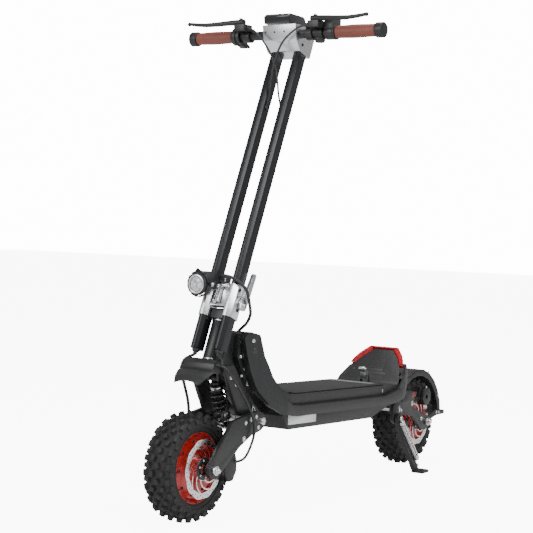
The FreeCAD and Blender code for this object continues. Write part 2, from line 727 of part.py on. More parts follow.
clamp_solid = slab("clamp", "side", [
    level(-60, 4), level(-64, -10), level(-44, -58), level(2, -42), level(20, -16),
    level(27, 22), level(-38, 22),
], "-stem_spread - stem_wide / 2 - 4", "2 * stem_spread + stem_wide + 8",
    rounds={"5": [1, 2, 3], "8": [0, 4]})
bar_clamp = cut(
    clamp_solid, stem_space, mirror(stem_space),
    cylinder("bar_radius", 140, "bar_forward", -70, "bar_up"),
)
keep(bar_clamp, "bar_clamp", "head")
display = slab("display", "side", [
    level(-38, 22.4), level(-40, 46), level(-31, 56), level(30, 59), level(41, 50), level(38, 22.4),
], -37, 74, rounds={"7": [1, 2, 3, 4]})
keep(display, "display", "head")

keep(cut(
    cylinder("bar_radius", "2 * bar_half", 0, "-bar_half", 0),
    cylinder("bar_radius - bar_wall", "2 * bar_half", 0, "-bar_half", 0),
), "handlebar", "bar")


def from_grip(gap):
    """A place on the bar, by its distance inboard of the grip's inner end."""
    return "bar_half - 14 - grip_long - (%s)" % gap


grip = tube("grip_radius", "bar_radius", "grip_long", 0, from_grip(0), 0)
keep(group(grip, mirror(grip)), "grips", "bar")
end_cap = fuse(
    tube("grip_radius + 2", "bar_radius", "14", 0, "bar_half - 14", 0),
    cylinder("grip_radius + 2", 6, 0, "bar_half", 0),
)
keep(group(end_cap, mirror(end_cap)), "bar_ends", "bar")

perch = cut(
    fuse(
        cylinder("bar_radius + 5.4", 20, 0, from_grip(54), 0),
        block(38, 30, 16, 6, from_grip(58), 10),
        cylinder(3, 14, 34, from_grip(42), 25, "Z"),
    ),
    cylinder("bar_radius", 40, 0, from_grip(60), 0),
)
keep(group(perch, mirror(perch)), "brake_perches", "bar")


def lever():
    """Two-finger brake lever, turning on the perch's upright pin."""
    return slab("lever", "plan", [
        (24, from_grip(50)), (34, from_grip(54)), (46, from_grip(46)), (52, from_grip(34)),
        (46, from_grip(0)), (52, from_grip(-55)), (50, from_grip(-112)), (43, from_grip(-112)),
        (42, from_grip(-55)), (34, from_grip(0)), (26, from_grip(28)),
    ], 27, 9, circles=[(34, from_grip(42), "3 + running_gap")],
        rounds={"3": [0, 6, 7], "4": [1, 2, 3]})


keep(lever(), "left_lever", "bar")
keep(mirror(lever()), "right_lever", "bar")

OUTER_END = "-(%s)" % from_grip(2)
keep(tube(19, "bar_radius", 22, 0, OUTER_END, 0), "throttle_body", "bar")
paddle = fuse(
    tube(22, "19 + running_gap", 10, 0, OUTER_END + " + 2", 0),
    slab("tab", "side", [
        (-8, -20), (-24, -26), (-44, -24), (-42, -18), (-20, -8),
    ], OUTER_END + " + 2", "16"),
)
keep(cut(paddle, cylinder("19 + running_gap", 22, 0, OUTER_END, 0)), "throttle_paddle", "bar")
pod = cut(
    fuse(cylinder(18, 24, 0, from_grip(26), 0), block(40, 24, 26, -22, from_grip(26), 8)),
    cylinder("bar_radius", 24, 0, from_grip(26), 0),
    cylinder("5 + running_gap", 12, -23, from_grip(14), 24, "X"),
)
keep(pod, "switch_pod", "bar")
keep(cylinder(5, 10, -26, from_grip(14), 24, "X"), "horn_button", "bar")

# ---- headlight on the right-hand stem ----

LIGHT_Y = "-stem_spread - 1"
cheek = [
    (20, 143), (20, 119), (50, 119), ("%s - 14" % LAMP[0], "%s - 8" % LAMP[1]),
    ("%s + 4" % LAMP[0], "%s - 10" % LAMP[1]), ("%s + 10" % LAMP[0], "%s + 3" % LAMP[1]), (66, 143),
]
bracket = cut(
    fuse(
        block(43, 62, 24, 5, "%s - 31" % LIGHT_Y, 119),
        slab("cheek", "side", cheek, "%s - 31" % LIGHT_Y, "3"),
        slab("cheek", "side", cheek, "%s + 28" % LIGHT_Y, "3"),
        cylinder(3, 5, LAMP[0], "%s - 31" % LIGHT_Y, LAMP[1]),
        cylinder(3, 5, LAMP[0], "%s + 26" % LIGHT_Y, LAMP[1]),
    ),
    mirror(stem_space),
)
keep(bracket, "headlight_bracket", "head")
lamp_back = doc.addObject("Part::Cone", "cone")
lamp_back.Placement = Placement(Vector(), Y_UP["X"])
bind(lamp_back, "Radius1", 15)
bind(lamp_back, "Radius2", 27)
bind(lamp_back, "Height", 14)
at(lamp_back, -12, LIGHT_Y, 0)
lamp = cut(
    fuse(lamp_back, cylinder(27, 22, 2, LIGHT_Y, 0, "X")),
    cylinder("3 + running_gap", 60, 0, "%s - 30" % LIGHT_Y, 0),
)
keep(lamp, "headlight", "lamp")

# ---- cables: straight runs joined by tangent arcs ----


def cable(points, radius):
    """A plain tube along a route; each arc is as large as its two runs allow."""
    route = [Vector(*point) for point in points]
    edges = []
    start = route[0]
    arcs = []
    for before, here, after in zip(route, route[1:], route[2:]):
        back = (before - here).normalize()
        ahead = (after - here).normalize()
        turn = math.pi - back.getAngle(ahead)
        reach = 0.45 * min((before - here).Length, (after - here).Length)
        arcs.append(reach / math.tan(turn / 2))
        into, out = here + back * reach, here + ahead * reach
        inward = (back + ahead).normalize()
        bulge = arcs[-1] / math.cos(turn / 2) - arcs[-1]
        edges.append(Part.LineSegment(start, into).toShape())
        edges.append(Part.Arc(into, here + inward * bulge, out).toShape())
        start = out
    edges.append(Part.LineSegment(start, route[-1]).toShape())
    path = Part.Wire(edges)
    ring = Part.Wire(Part.makeCircle(radius, route[0], route[1] - route[0]))
    shape = path.makePipeShell([ring], True, False)
    ratio = shape.Volume / (math.pi * radius ** 2 * path.Length)
    print("cable radii", [round(value, 1) for value in arcs])
    print("cable length", round(path.Length), "ratio", round(ratio, 3))
    made = doc.addObject("Part::Feature", "cable")
    made.Shape = shape
    return made


left_brake = [
    (98, 92, 774), (101, 70, 771), (98, 46, 757), (92, 22, 736), (80, 5, 708), (65, -5, 672),
    (46, -12, 634), (32, -17, 606), (26, -22, 588),
]
right_brake = [
    (98, -92, 774), (100, -70, 768), (93, -46, 747), (80, -24, 722), (64, -8, 694), (50, 3, 660),
    (40, 10, 624), (31, 16, 600), (25, 22, 582),
]
lamp_lead = [
    (54, -3, 131), (56, 10, 132), (54, 28, 130), (48, 48, 124), (32, 64, 112), (10, 65, 92), (-10, 62, 74),
]
keep(group(cable(left_brake, 2.5), cable(right_brake, 2.5), cable(lamp_lead, 3)), "stem_cables", "head")
front_brake = [
    (-44, 42.5, 360), (-46, 56, 360), (-54, 67, 352), (-73, 73, 329), (-98, 77, 298), (-126, 80, 264),
    (-146, 82, 232), (-151, 83, 202), (-142, 82, 172), (-126, 80, 150),
]
motor_lead = [
    (-44, -42.5, 355), (-45, -55, 355), (-49, -61, 345), (-56, -61, 324), (-66, -60, 298),
    (-76, -58.5, 270), (-81, -58, 242), (-76, -58, 214), (-60, -58, 190), (-36, -58, 172),
]
keep(group(cable(front_brake, 2.5), cable(motor_lead, 3)), "fork_cables", "front")


doc.recompute()
os.makedirs("parts", exist_ok=True)
for thing in doc.Objects:
    if "Invalid" in thing.State or "Error" in thing.State:
        raise RuntimeError("%s (%s) is %s" % (thing.Name, thing.Label, thing.State))
for thing in finished:
    shape = thing.Shape
    if shape.isNull() or not shape.isValid() or not shape.Solids:
        raise RuntimeError("%s has no valid solid" % thing.Label)
for thing in finished:
    thing.Shape.exportStep("parts/%s.step" % thing.Label)
    print(thing.Label, len(thing.Shape.Solids), "solids", round(thing.Shape.Volume))
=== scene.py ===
import json
import math

import bmesh
import bpy
from mathutils import Matrix, Vector


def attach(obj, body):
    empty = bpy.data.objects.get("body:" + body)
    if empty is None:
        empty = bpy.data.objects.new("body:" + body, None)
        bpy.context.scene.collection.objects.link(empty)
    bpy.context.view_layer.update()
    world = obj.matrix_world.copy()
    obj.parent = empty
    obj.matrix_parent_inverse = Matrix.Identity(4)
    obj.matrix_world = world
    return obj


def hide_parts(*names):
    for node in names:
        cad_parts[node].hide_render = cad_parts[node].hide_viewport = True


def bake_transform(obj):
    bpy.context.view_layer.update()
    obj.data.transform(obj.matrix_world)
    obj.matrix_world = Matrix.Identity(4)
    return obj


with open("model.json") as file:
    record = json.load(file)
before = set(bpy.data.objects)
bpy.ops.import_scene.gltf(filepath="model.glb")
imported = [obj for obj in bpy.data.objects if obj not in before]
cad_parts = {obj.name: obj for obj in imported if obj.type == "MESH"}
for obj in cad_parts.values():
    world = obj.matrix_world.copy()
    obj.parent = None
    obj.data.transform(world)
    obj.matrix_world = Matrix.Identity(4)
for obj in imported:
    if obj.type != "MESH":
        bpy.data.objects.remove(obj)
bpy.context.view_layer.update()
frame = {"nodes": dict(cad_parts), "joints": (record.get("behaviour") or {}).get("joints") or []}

# ---------------------------------------------------------------- studio and camera
# A pale floor under a white backdrop, three large soft lamps at the left, in front and above,
# and a long lens low in front of the scooter's left fork leg.

joints = {joint["name"]: joint for joint in frame["joints"]}
rear_centre = Vector(joints["rear_wheel_spin"]["pos_m"])
front_centre = Vector(joints["front_wheel_spin"]["pos_m"])


def look(azimuth, elevation, roll, place):
    """A camera or lamp matrix that looks back along the given bearing."""
    back = Vector((
        math.sin(azimuth) * math.cos(elevation),
        -math.cos(azimuth) * math.cos(elevation),
        math.sin(elevation),
    ))
    side = Vector((math.cos(azimuth), math.sin(azimuth), 0))
    rise = back.cross(side)
    level_side = side * math.cos(roll) + rise * math.sin(roll)
    level_rise = rise * math.cos(roll) - side * math.sin(roll)
    turn = Matrix((level_side, level_rise, back)).transposed().to_4x4()
    return Matrix.Translation(place) @ turn


camera_data = bpy.data.cameras.new("camera")
camera_data.sensor_width = 36
camera_data.lens = 97.93
camera_data.clip_end = 60
camera = bpy.data.objects.new("camera", camera_data)
camera.matrix_world = look(
    math.radians(123.17), math.radians(2.17), math.radians(1.584),
    rear_centre * Vector((1, 0, 0)) + Vector((3.71415, 1.94281, 0.7146)),
)
bpy.context.scene.collection.objects.link(camera)
bpy.context.scene.camera = camera

floor_bm = bmesh.new()
bmesh.ops.create_grid(floor_bm, x_segments=1, y_segments=1, size=14)
floor_mesh = bpy.data.meshes.new("floor")
floor_bm.to_mesh(floor_mesh)
floor = bpy.data.objects.new("floor", floor_mesh)
bpy.context.scene.collection.objects.link(floor)


def brighter_to_camera(tree, socket, seen, lit):
    """A strength that the camera sees raised, while the light it casts stays low."""
    ray = tree.nodes.new("ShaderNodeLightPath")
    lift = tree.nodes.new("ShaderNodeMath")
    lift.operation = "MULTIPLY_ADD"
    lift.inputs[1].default_value = seen
    lift.inputs[2].default_value = lit
    tree.links.new(ray.outputs["Is Camera Ray"], lift.inputs[0])
    tree.links.new(lift.outputs[0], socket)


pale = bpy.data.materials.new("studio_floor")
pale.use_nodes = True
surface = pale.node_tree.nodes["Principled BSDF"].inputs
surface["Base Color"].default_value = (0.93, 0.93, 0.93, 1)
surface["Roughness"].default_value = 0.9
surface["Emission Color"].default_value = (1, 1, 1, 1)
brighter_to_camera(pale.node_tree, surface["Emission Strength"], seen=9.0, lit=0)
floor_mesh.materials.append(pale)

world = bpy.data.worlds.new("studio")
world.use_nodes = True
backdrop = world.node_tree.nodes["Background"].inputs
backdrop["Color"].default_value = (1, 1, 1, 1)
brighter_to_camera(world.node_tree, backdrop["Strength"], seen=14.0, lit=0.42)
bpy.context.scene.world = world


def softbox(name, place, target, size, power):
    """A rectangular studio lamp that faces its target."""
    lamp_data = bpy.data.lights.new(name, "AREA")
    lamp_data.shape = "RECTANGLE"
    lamp_data.size, lamp_data.size_y = size
    lamp_data.energy = power
    lamp = bpy.data.objects.new(name, lamp_data)
    lamp.location = place
    lamp.rotation_euler = (Vector(place) - Vector(target)).to_track_quat("Z", "Y").to_euler()
    bpy.context.scene.collection.objects.link(lamp)


softbox("key_light", (1.2, 3.2, 2.9), (0, 0, 0.5), (2.4, 1.6), 110)
softbox("front_light", (3.6, -1.2, 2.2), (0.2, 0, 0.5), (1.6, 2.2), 70)
softbox("top_light", (-0.4, 0.2, 3.6), (0, 0, 0.3), (2.6, 1.4), 60)

# ---------------------------------------------------------------- deck box
# Welded aluminium tub under the deck that holds the battery and the controller, powder
# coated satin black, with a bare aluminium data plate riveted to its left wall.


def group_node(name, inputs, outputs):
    """An empty shader node group with named sockets."""
    made = bpy.data.node_groups.new(name, "ShaderNodeTree")
    for word, kind, value in inputs:
        socket = made.interface.new_socket(word, in_out="INPUT", socket_type=kind)
        socket.default_value = value
    for word, kind in outputs:
        made.interface.new_socket(word, in_out="OUTPUT", socket_type=kind)
    return made, made.nodes.new("NodeGroupInput"), made.nodes.new("NodeGroupOutput")


def wire(tree, pairs):
    """Link each source socket to its target."""
    for source, target in pairs:
        tree.links.new(source, target)


def texture_node(tree, kind, values=(), **settings):
    """A shader node with its choices and its socket values set."""
    made = tree.nodes.new("ShaderNode" + kind)
    for word, choice in settings.items():
        setattr(made, word, choice)
    for socket, value in dict(values).items():
        made.inputs[socket].default_value = value
    return made


FLOAT, COLOUR, VECTOR = "NodeSocketFloat", "NodeSocketColor", "NodeSocketVector"

# Edge wear: paler, rubbed edges where the surface turns, and a slow drift of tone.
edge_wear, wear_in, wear_out = group_node("edge_wear", [
    ("Colour", COLOUR, (0.5, 0.5, 0.5, 1)), ("Rubbed", COLOUR, (0.8, 0.8, 0.8, 1)),
    ("Amount", FLOAT, 0.5), ("Drift", FLOAT, 0.12),
], [("Colour", COLOUR), ("Edge", FLOAT)])
shape = texture_node(edge_wear, "NewGeometry")
edges = texture_node(edge_wear, "MapRange", {"From Min": 0.53, "From Max": 0.66})
place = texture_node(edge_wear, "TexCoord")
blotch = texture_node(edge_wear, "TexNoise", {"Scale": 45, "Detail": 3})
rub = texture_node(edge_wear, "Math", operation="MULTIPLY")
amount = texture_node(edge_wear, "Math", operation="MULTIPLY")
slow = texture_node(edge_wear, "TexNoise", {"Scale": 6})
tone = texture_node(edge_wear, "MapRange", {"To Min": -1, "To Max": 1})
share = texture_node(edge_wear, "Math", {2: 1}, operation="MULTIPLY_ADD")
scaled = texture_node(edge_wear, "VectorMath", operation="SCALE")
mixed = texture_node(edge_wear, "Mix", data_type="RGBA")
wire(edge_wear, [
    (shape.outputs["Pointiness"], edges.inputs["Value"]),
    (place.outputs["Object"], blotch.inputs["Vector"]),
    (place.outputs["Object"], slow.inputs["Vector"]),
    (edges.outputs["Result"], rub.inputs[0]), (blotch.outputs["Fac"], rub.inputs[1]),
    (rub.outputs[0], amount.inputs[0]), (wear_in.outputs["Amount"], amount.inputs[1]),
    (slow.outputs["Fac"], tone.inputs["Value"]), (tone.outputs["Result"], share.inputs[0]),
    (wear_in.outputs["Drift"], share.inputs[1]),
    (wear_in.outputs["Colour"], scaled.inputs[0]), (share.outputs[0], scaled.inputs["Scale"]),
    (amount.outputs[0], mixed.inputs["Factor"]), (scaled.outputs[0], mixed.inputs["A"]),
    (wear_in.outputs["Rubbed"], mixed.inputs["B"]),
    (mixed.outputs["Result"], wear_out.inputs["Colour"]), (amount.outputs[0], wear_out.inputs["Edge"]),
])

# Grain: fine bumps at a set scale with a matching change of roughness.
grain, grain_in, grain_out = group_node("grain", [
    ("Scale", FLOAT, 900.0), ("Depth", FLOAT, 0.1), ("Roughness", FLOAT, 0.4), ("Spread", FLOAT, 0.1),
    ("Stretch", VECTOR, (1, 1, 1)),
], [("Normal", VECTOR), ("Roughness", FLOAT), ("Height", FLOAT)])
place = texture_node(grain, "TexCoord")
stretch = texture_node(grain, "VectorMath", operation="MULTIPLY")
speck = texture_node(grain, "TexNoise", {"Detail": 4})
bump = texture_node(grain, "Bump", {"Distance": 0.0005})
centred = texture_node(grain, "MapRange", {"To Min": -1, "To Max": 1})
rough = texture_node(grain, "Math", operation="MULTIPLY_ADD")
wire(grain, [
    (place.outputs["Object"], stretch.inputs[0]), (grain_in.outputs["Stretch"], stretch.inputs[1]),
    (stretch.outputs[0], speck.inputs["Vector"]), (grain_in.outputs["Scale"], speck.inputs["Scale"]),
    (speck.outputs["Fac"], bump.inputs["Height"]), (grain_in.outputs["Depth"], bump.inputs["Strength"]),
    (speck.outputs["Fac"], centred.inputs["Value"]), (centred.outputs["Result"], rough.inputs[0]),
    (grain_in.outputs["Spread"], rough.inputs[1]), (grain_in.outputs["Roughness"], rough.inputs[2]),
    (bump.outputs["Normal"], grain_out.inputs["Normal"]), (rough.outputs[0], grain_out.inputs["Roughness"]),
    (speck.outputs["Fac"], grain_out.inputs["Height"]),
])


def finish(name, colour, rubbed, wear, roughness, scale, depth, metal=0.0, coat=0.0, spread=0.08,
           drift=0.12, stretch=(1, 1, 1)):
    """A worn, grained surface. The returned material keeps its shader for further links."""
    made = bpy.data.materials.new(name)
    made.use_nodes = True
    tree = made.node_tree
    shader = tree.nodes["Principled BSDF"]
    shader.inputs["Metallic"].default_value = metal
    shader.inputs["Coat Weight"].default_value = coat
    shader.inputs["Coat Roughness"].default_value = 0.15
    edge = tree.nodes.new("ShaderNodeGroup")
    edge.node_tree = edge_wear
    edge.inputs["Colour"].default_value = (*colour, 1)
    edge.inputs["Rubbed"].default_value = (*rubbed, 1)
    edge.inputs["Amount"].default_value = wear
    edge.inputs["Drift"].default_value = drift
    surface = tree.nodes.new("ShaderNodeGroup")
    surface.name = "grain"
    surface.node_tree = grain
    surface.inputs["Scale"].default_value = scale
    surface.inputs["Depth"].default_value = depth
    surface.inputs["Roughness"].default_value = roughness
    surface.inputs["Spread"].default_value = spread
    surface.inputs["Stretch"].default_value = stretch
    wire(tree, [
        (edge.outputs["Colour"], shader.inputs["Base Color"]),
        (surface.outputs["Roughness"], shader.inputs["Roughness"]),
        (surface.outputs["Normal"], shader.inputs["Normal"]),
    ])
    return made


powder_black = finish("powder_black", (0.011, 0.0115, 0.0125), (0.06, 0.06, 0.063), 0.5, 0.42, 1400, 0.10)
bare_alloy = finish("bare_alloy", (0.80, 0.81, 0.83), (0.95, 0.95, 0.95), 0.4, 0.27, 300, 0.05, 1.0,
                    stretch=(1, 1, 8))
bright_steel = finish("bright_steel", (0.72, 0.72, 0.73), (0.9, 0.9, 0.9), 0.4, 0.22, 700, 0.05, 1.0)

MM = 0.001


def working_frame(origin, lean=0.0):
    """Millimetres, standing at a point of the scooter and leaned back by an angle."""
    return Matrix.Translation(origin) @ Matrix.Rotation(-lean, 4, "Y") @ Matrix.Scale(MM, 4)


steering = joints["steering_turn"]
rake = math.atan2(-steering["axis"][0], steering["axis"][2])
REAR = working_frame((rear_centre.x, 0, 0))
FRONT = working_frame((front_centre.x, 0, 0))
HEAD = working_frame(steering["pos_m"], rake)
BAR = working_frame(HEAD @ Vector((63, 0, 770)))
LAMP = working_frame(joints["lamp_tilt"]["pos_m"])


def taken(node):
    """A copy of a CAD node's mesh with its loose triangles merged and its flat faces joined."""
    bm = bmesh.new()
    bm.from_mesh(frame["nodes"][node].data)
    bmesh.ops.remove_doubles(bm, verts=bm.verts, dist=1e-6)
    bmesh.ops.dissolve_limit(
        bm, angle_limit=math.radians(0.6), verts=bm.verts, edges=bm.edges, delimit={"NORMAL"})
    return bm


def soften(bm, width, segments=2, sharper=32):
    """Round every edge that turns by more than the given angle."""
    limit = math.radians(sharper)
    picked = [e for e in bm.edges if e.is_manifold and e.calc_face_angle(0) > limit]
    bmesh.ops.bevel(
        bm, geom=picked, offset=width, offset_type="OFFSET", affect="EDGES", segments=segments,
        profile=0.5, material=-1, clamp_overlap=True)
    return bm


def add(bm, part, place):
    """Stand a finished shape in place and join it to a piece."""
    bmesh.ops.recalc_face_normals(part, faces=part.faces)
    bmesh.ops.transform(part, matrix=place, verts=part.verts)
    step = bpy.data.meshes.new("step")
    part.to_mesh(step)
    part.free()
    bm.from_mesh(step)
    bpy.data.meshes.remove(step)


def aim(place, direction):
    """A local frame with its Z along a direction."""
    turn = Vector(direction).to_track_quat("Z", "Y")
    return Matrix.Translation(place) @ turn.to_matrix().to_4x4()


def turned(bm, profile, place, steps=40):
    """A lathed shape from (radius, height) corners, spun about the local Z."""
    part = bmesh.new()
    line = [part.verts.new((radius, 0, height)) for radius, height in profile]
    edges = [part.edges.new(pair) for pair in zip(line, line[1:])]
    bmesh.ops.spin(
        part, geom=line + edges, cent=(0, 0, 0), axis=(0, 0, 1), angle=math.tau, steps=steps,
        use_merge=True, use_duplicate=False)
    bmesh.ops.remove_doubles(part, verts=part.verts, dist=1e-4)
    add(bm, part, place)


def screw(bm, place, direction, radius, high=None, steps=18):
    """A domed socket screw that stands on its place."""
    high = high or radius * 0.6
    turned(bm, [
        (0, high * 0.3), (radius * 0.42, high * 0.3), (radius * 0.46, high * 0.92),
        (radius * 0.62, high), (radius * 0.88, high * 0.78), (radius, high * 0.4),
        (radius, -0.5), (0, -0.5),
    ], aim(place, direction), steps)


def plate(bm, outline, near, thick, place, edge=0.8, rounds=0.0):
    """A flat piece from an X-Z outline, given a thickness along Y, with its edges broken."""
    part = bmesh.new()
    part.faces.new([part.verts.new((x, near, z)) for x, z in outline])
    if rounds:
        bmesh.ops.bevel(
            part, geom=part.verts[:], offset=rounds, offset_type="OFFSET", affect="VERTICES",
            segments=4, profile=0.5, material=-1)
    raised = bmesh.ops.extrude_face_region(part, geom=part.faces[:])["geom"]
    bmesh.ops.translate(
        part, vec=(0, thick, 0), verts=[v for v in raised if isinstance(v, bmesh.types.BMVert)])
    bmesh.ops.recalc_face_normals(part, faces=part.faces)
    if edge:
        soften(part, edge, 2, 50)
    add(bm, part, place)


def mirrored(bm):
    """Add the same shapes on the other side of the scooter."""
    bmesh.ops.mirror(bm, geom=bm.verts[:] + bm.edges[:] + bm.faces[:], matrix=Matrix(), axis="Y")
    return bm


def settle(bm, name, material, body, replaces=(), smooth=38, clean=True, place=None):
    """Turn finished shapes, drawn in a working frame if one is given, into a piece on a body."""
    if place:
        bmesh.ops.transform(bm, matrix=place, verts=bm.verts)
    if clean:
        bmesh.ops.remove_doubles(bm, verts=bm.verts, dist=1e-7)
        bmesh.ops.recalc_face_normals(bm, faces=bm.faces)
    mesh = bpy.data.meshes.new(name)
    for face in bm.faces:
        face.smooth = True
    bm.to_mesh(mesh)
    bm.free()
    mesh.set_sharp_from_angle(angle=math.radians(smooth))
    mesh.materials.append(material)
    made = bpy.data.objects.new(name, mesh)
    bpy.context.scene.collection.objects.link(made)
    if body:
        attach(made, body)
    if replaces:
        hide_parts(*replaces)
    return made


def refined(node, name, material, body, width=1.0, segments=2):
    """The CAD part itself with its edges broken, as machining or moulding leaves them."""
    bm = soften(taken(node), width * MM, segments)
    return settle(bm, name, material, body, [node], clean=False)


refined("deck_box", "battery_tub", powder_black, "frame", 2)
bm = bmesh.new()
plate(bm, [(640, 197), (640, 226), (769, 231), (769, 202)], 92, 0.7, REAR, 0.2, 2)
settle(bm, "data_plate", bare_alloy, "frame")
bm = bmesh.new()
for x, z in ((646, 201), (646, 221), (763, 206), (763, 226)):
    screw(bm, (x, 92.6, z), (0, 1, 0), 2.2, 1.2, 10)
for x in (262, 440, 600, 778):
    screw(bm, (x, 92, 214 + (x - 262) * 0.04), (0, 1, 0), 3.4, 2.2, 12)
    screw(bm, (x, -92, 214 + (x - 262) * 0.04), (0, -1, 0), 3.4, 2.2, 12)
settle(bm, "tub_screws", bright_steel, "frame", place=REAR)
for sealed in ("battery_pack", "motor_controller"):
    casing = frame["nodes"][sealed].material_slots[0]
    casing.link = "OBJECT"
    casing.material = powder_black

# ---------------------------------------------------------------- cables
# Two brake cables into grommets on the stems, the front brake cable and the motor lead from
# the fork to the wheel, and the lamp lead into the neck. Each is a rubber-jacketed line, and
# the long ones wear a spiral plastic wrap. The last stretch over a joint is a piece apart.

cable_black = finish(
    "cable_black", (0.022, 0.022, 0.024), (0.07, 0.07, 0.07), 0.4, 0.46, 900, 0.08, drift=0.2)
wrap_black = finish(
    "wrap_black", (0.018, 0.018, 0.02), (0.10, 0.10, 0.10), 0.5, 0.33, 1200, 0.05, drift=0.25)


def route_curve(name, points, place, radius):
    """A smooth cable through the given control points."""
    data = bpy.data.curves.new(name, "CURVE")
    data.dimensions = "3D"
    data.resolution_u = 8
    data.bevel_depth = radius * MM
    data.bevel_resolution = 4
    data.use_fill_caps = True
    line = data.splines.new("NURBS")
    line.points.add(len(points) - 1)
    for knot, point in zip(line.points, points):
        knot.co = (*(place @ Vector(point)), 1)
    line.order_u = 3
    line.use_endpoint_u = True
    return bpy.data.objects.new(name, data)


def jacketed(name, points, place, radius, body, replaces=()):
    """A plain rubber-jacketed cable."""
    made = route_curve(name, points, place, radius)
    made.data.materials.append(cable_black)
    bpy.context.scene.collection.objects.link(made)
    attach(made, body)
    if replaces:
        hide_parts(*replaces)
    return made


def wrapped(name, points, place, radius, body=None, replaces=(), pitch=5.5, around=12):
    """A cable in a spiral wrap: a tube along the route whose wall swells once each pitch."""
    guide = route_curve(name, points, place, 0)
    guide.data.resolution_u = 24
    line = bpy.data.meshes.new_from_object(guide)
    path = [v.co.copy() for v in line.vertices]
    bpy.data.meshes.remove(line)
    bpy.data.objects.remove(guide)
    bm = bmesh.new()
    rings, gone, up = [], 0.0, Vector((0, 1, 0))
    for i, here in enumerate(path):
        along = (path[min(i + 1, len(path) - 1)] - path[max(i - 1, 0)]).normalized()
        side = along.cross(up).normalized()
        up = side.cross(along).normalized()
        gone += (here - path[i - 1]).length if i else 0
        ring = []
        for k in range(around):
            turn = math.tau * k / around
            wave = math.cos(turn - math.tau * gone / (pitch * MM))
            reach = (radius + 0.9 - 0.9 * max(0.0, wave) ** 3) * MM
            ring.append(bm.verts.new(here + (side * math.cos(turn) + up * math.sin(turn)) * reach))
        rings.append([bm.edges.new((ring[k], ring[(k + 1) % around])) for k in range(around)])
    for low, high in zip(rings, rings[1:]):
        bmesh.ops.bridge_loops(bm, edges=low + high)
    bmesh.ops.holes_fill(bm, edges=bm.edges, sides=around)
    return settle(bm, name, wrap_black, body, replaces, smooth=60)


left_route = [
    (98, 92, 774), (101, 70, 771), (98, 46, 757), (92, 22, 736), (80, 5, 708), (65, -5, 672),
    (46, -12, 634), (32, -17, 606), (26, -22, 588),
]
right_route = [
    (98, -92, 774), (100, -70, 768), (93, -46, 747), (80, -24, 722), (64, -8, 694), (50, 3, 660),
    (40, 10, 624), (31, 16, 600), (25, 22, 582),
]
lamp_route = [
    (54, -3, 131), (56, 10, 132), (54, 28, 130), (48, 48, 124), (32, 64, 112), (10, 65, 92),
    (-10, 62, 74),
]
brake_route = [
    (-44, 42.5, 360), (-46, 56, 360), (-54, 67, 352), (-73, 73, 329), (-98, 77, 298),
    (-126, 80, 264), (-146, 82, 232), (-151, 83, 202), (-142, 82, 172), (-126, 80, 150),
]
motor_route = [
    (-44, -42.5, 355), (-45, -55, 355), (-49, -61, 345), (-56, -61, 324), (-66, -60, 298),
    (-76, -58.5, 270), (-81, -58, 242), (-76, -58, 214), (-60, -58, 190), (-36, -58, 172),
]
jacketed("left_brake_cable", left_route, HEAD, 2.5, "stem", ["stem_cables"])
jacketed("right_brake_cable", right_route, HEAD, 2.5, "stem", ["stem_cables"])
wrapped("lamp_lead", lamp_route, HEAD, 3, "stem", ["stem_cables"])
wrapped("front_brake_cable", brake_route, FRONT, 2.5, "steering", ["fork_cables"])
wrapped("motor_lead", motor_route, FRONT, 3, "steering", ["fork_cables"])

crossings = (
    ("lamp_lead_link", [(-10, 62, 74), (-17, 60, 69), (-24, 56, 63), (-29, 51, 57)],
     HEAD, 3, "stem", "steering"),
    ("lamp_lead_foot", [(-29, 51, 57), (-35, 45, 50), (-40, 34, 42), (-43, 24, 34), (-44, 18, 27)],
     HEAD, 3, "steering", "frame"),
    ("brake_cable_head", [(27, 33, -57), (28, 42, -62), (31, 51, -68), (34, 55, -75), (35.7, 56, -80.9)],
     HEAD, 2.5, "stem", "steering"),
    ("motor_lead_head",
     [(27, -33, -57), (28, -42, -62), (31, -51, -69), (33.6, -55, -77), (34.6, -55, -85.9)],
     HEAD, 3, "stem", "steering"),
    ("brake_cable_foot", [(-126, 80, 150), (-119, 79, 142), (-110, 74, 136), (-100, 66, 133), (-92, 60, 132)],
     FRONT, 2.5, "steering", "front_swing"),
    ("motor_lead_foot", [(-36, -58, 172), (-22, -58, 158), (-10, -60, 144), (-3, -60.5, 135), (0, -61, 129)],
     FRONT, 3, "steering", "front_swing"),
)
for name, points, place, radius, before, after in crossings:
    link = wrapped(name, points, place, radius)
    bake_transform(link)

bm = bmesh.new()
for t, y, s, facing in ((26, -22, 588, 1), (25, 22, 582, -1)):
    turned(bm, [(2.6, 0), (2.6, 6.5), (3.6, 6.2), (4.6, 3), (6.4, 1.6), (6.6, 0), (2.6, 0)],
           aim((t, y, s), (0.12, facing, 0.25)), 24)
settle(bm, "cable_grommets", cable_black, "stem", place=HEAD)

# ---------------------------------------------------------------- tyres
# Off-road tyres, moulded black rubber: a round carcass with a bead at the rim, two staggered
# rows of centre blocks, shoulder blocks and thick lugs that wrap onto the sidewall.

tyre_rubber = finish(
    "tyre_rubber", (0.009, 0.009, 0.0095), (0.04, 0.04, 0.038), 0.6, 0.66, 520, 0.22, spread=0.1,
    drift=0.3)
TYRE, RIM = 127.5, 84
PITCHES = 22


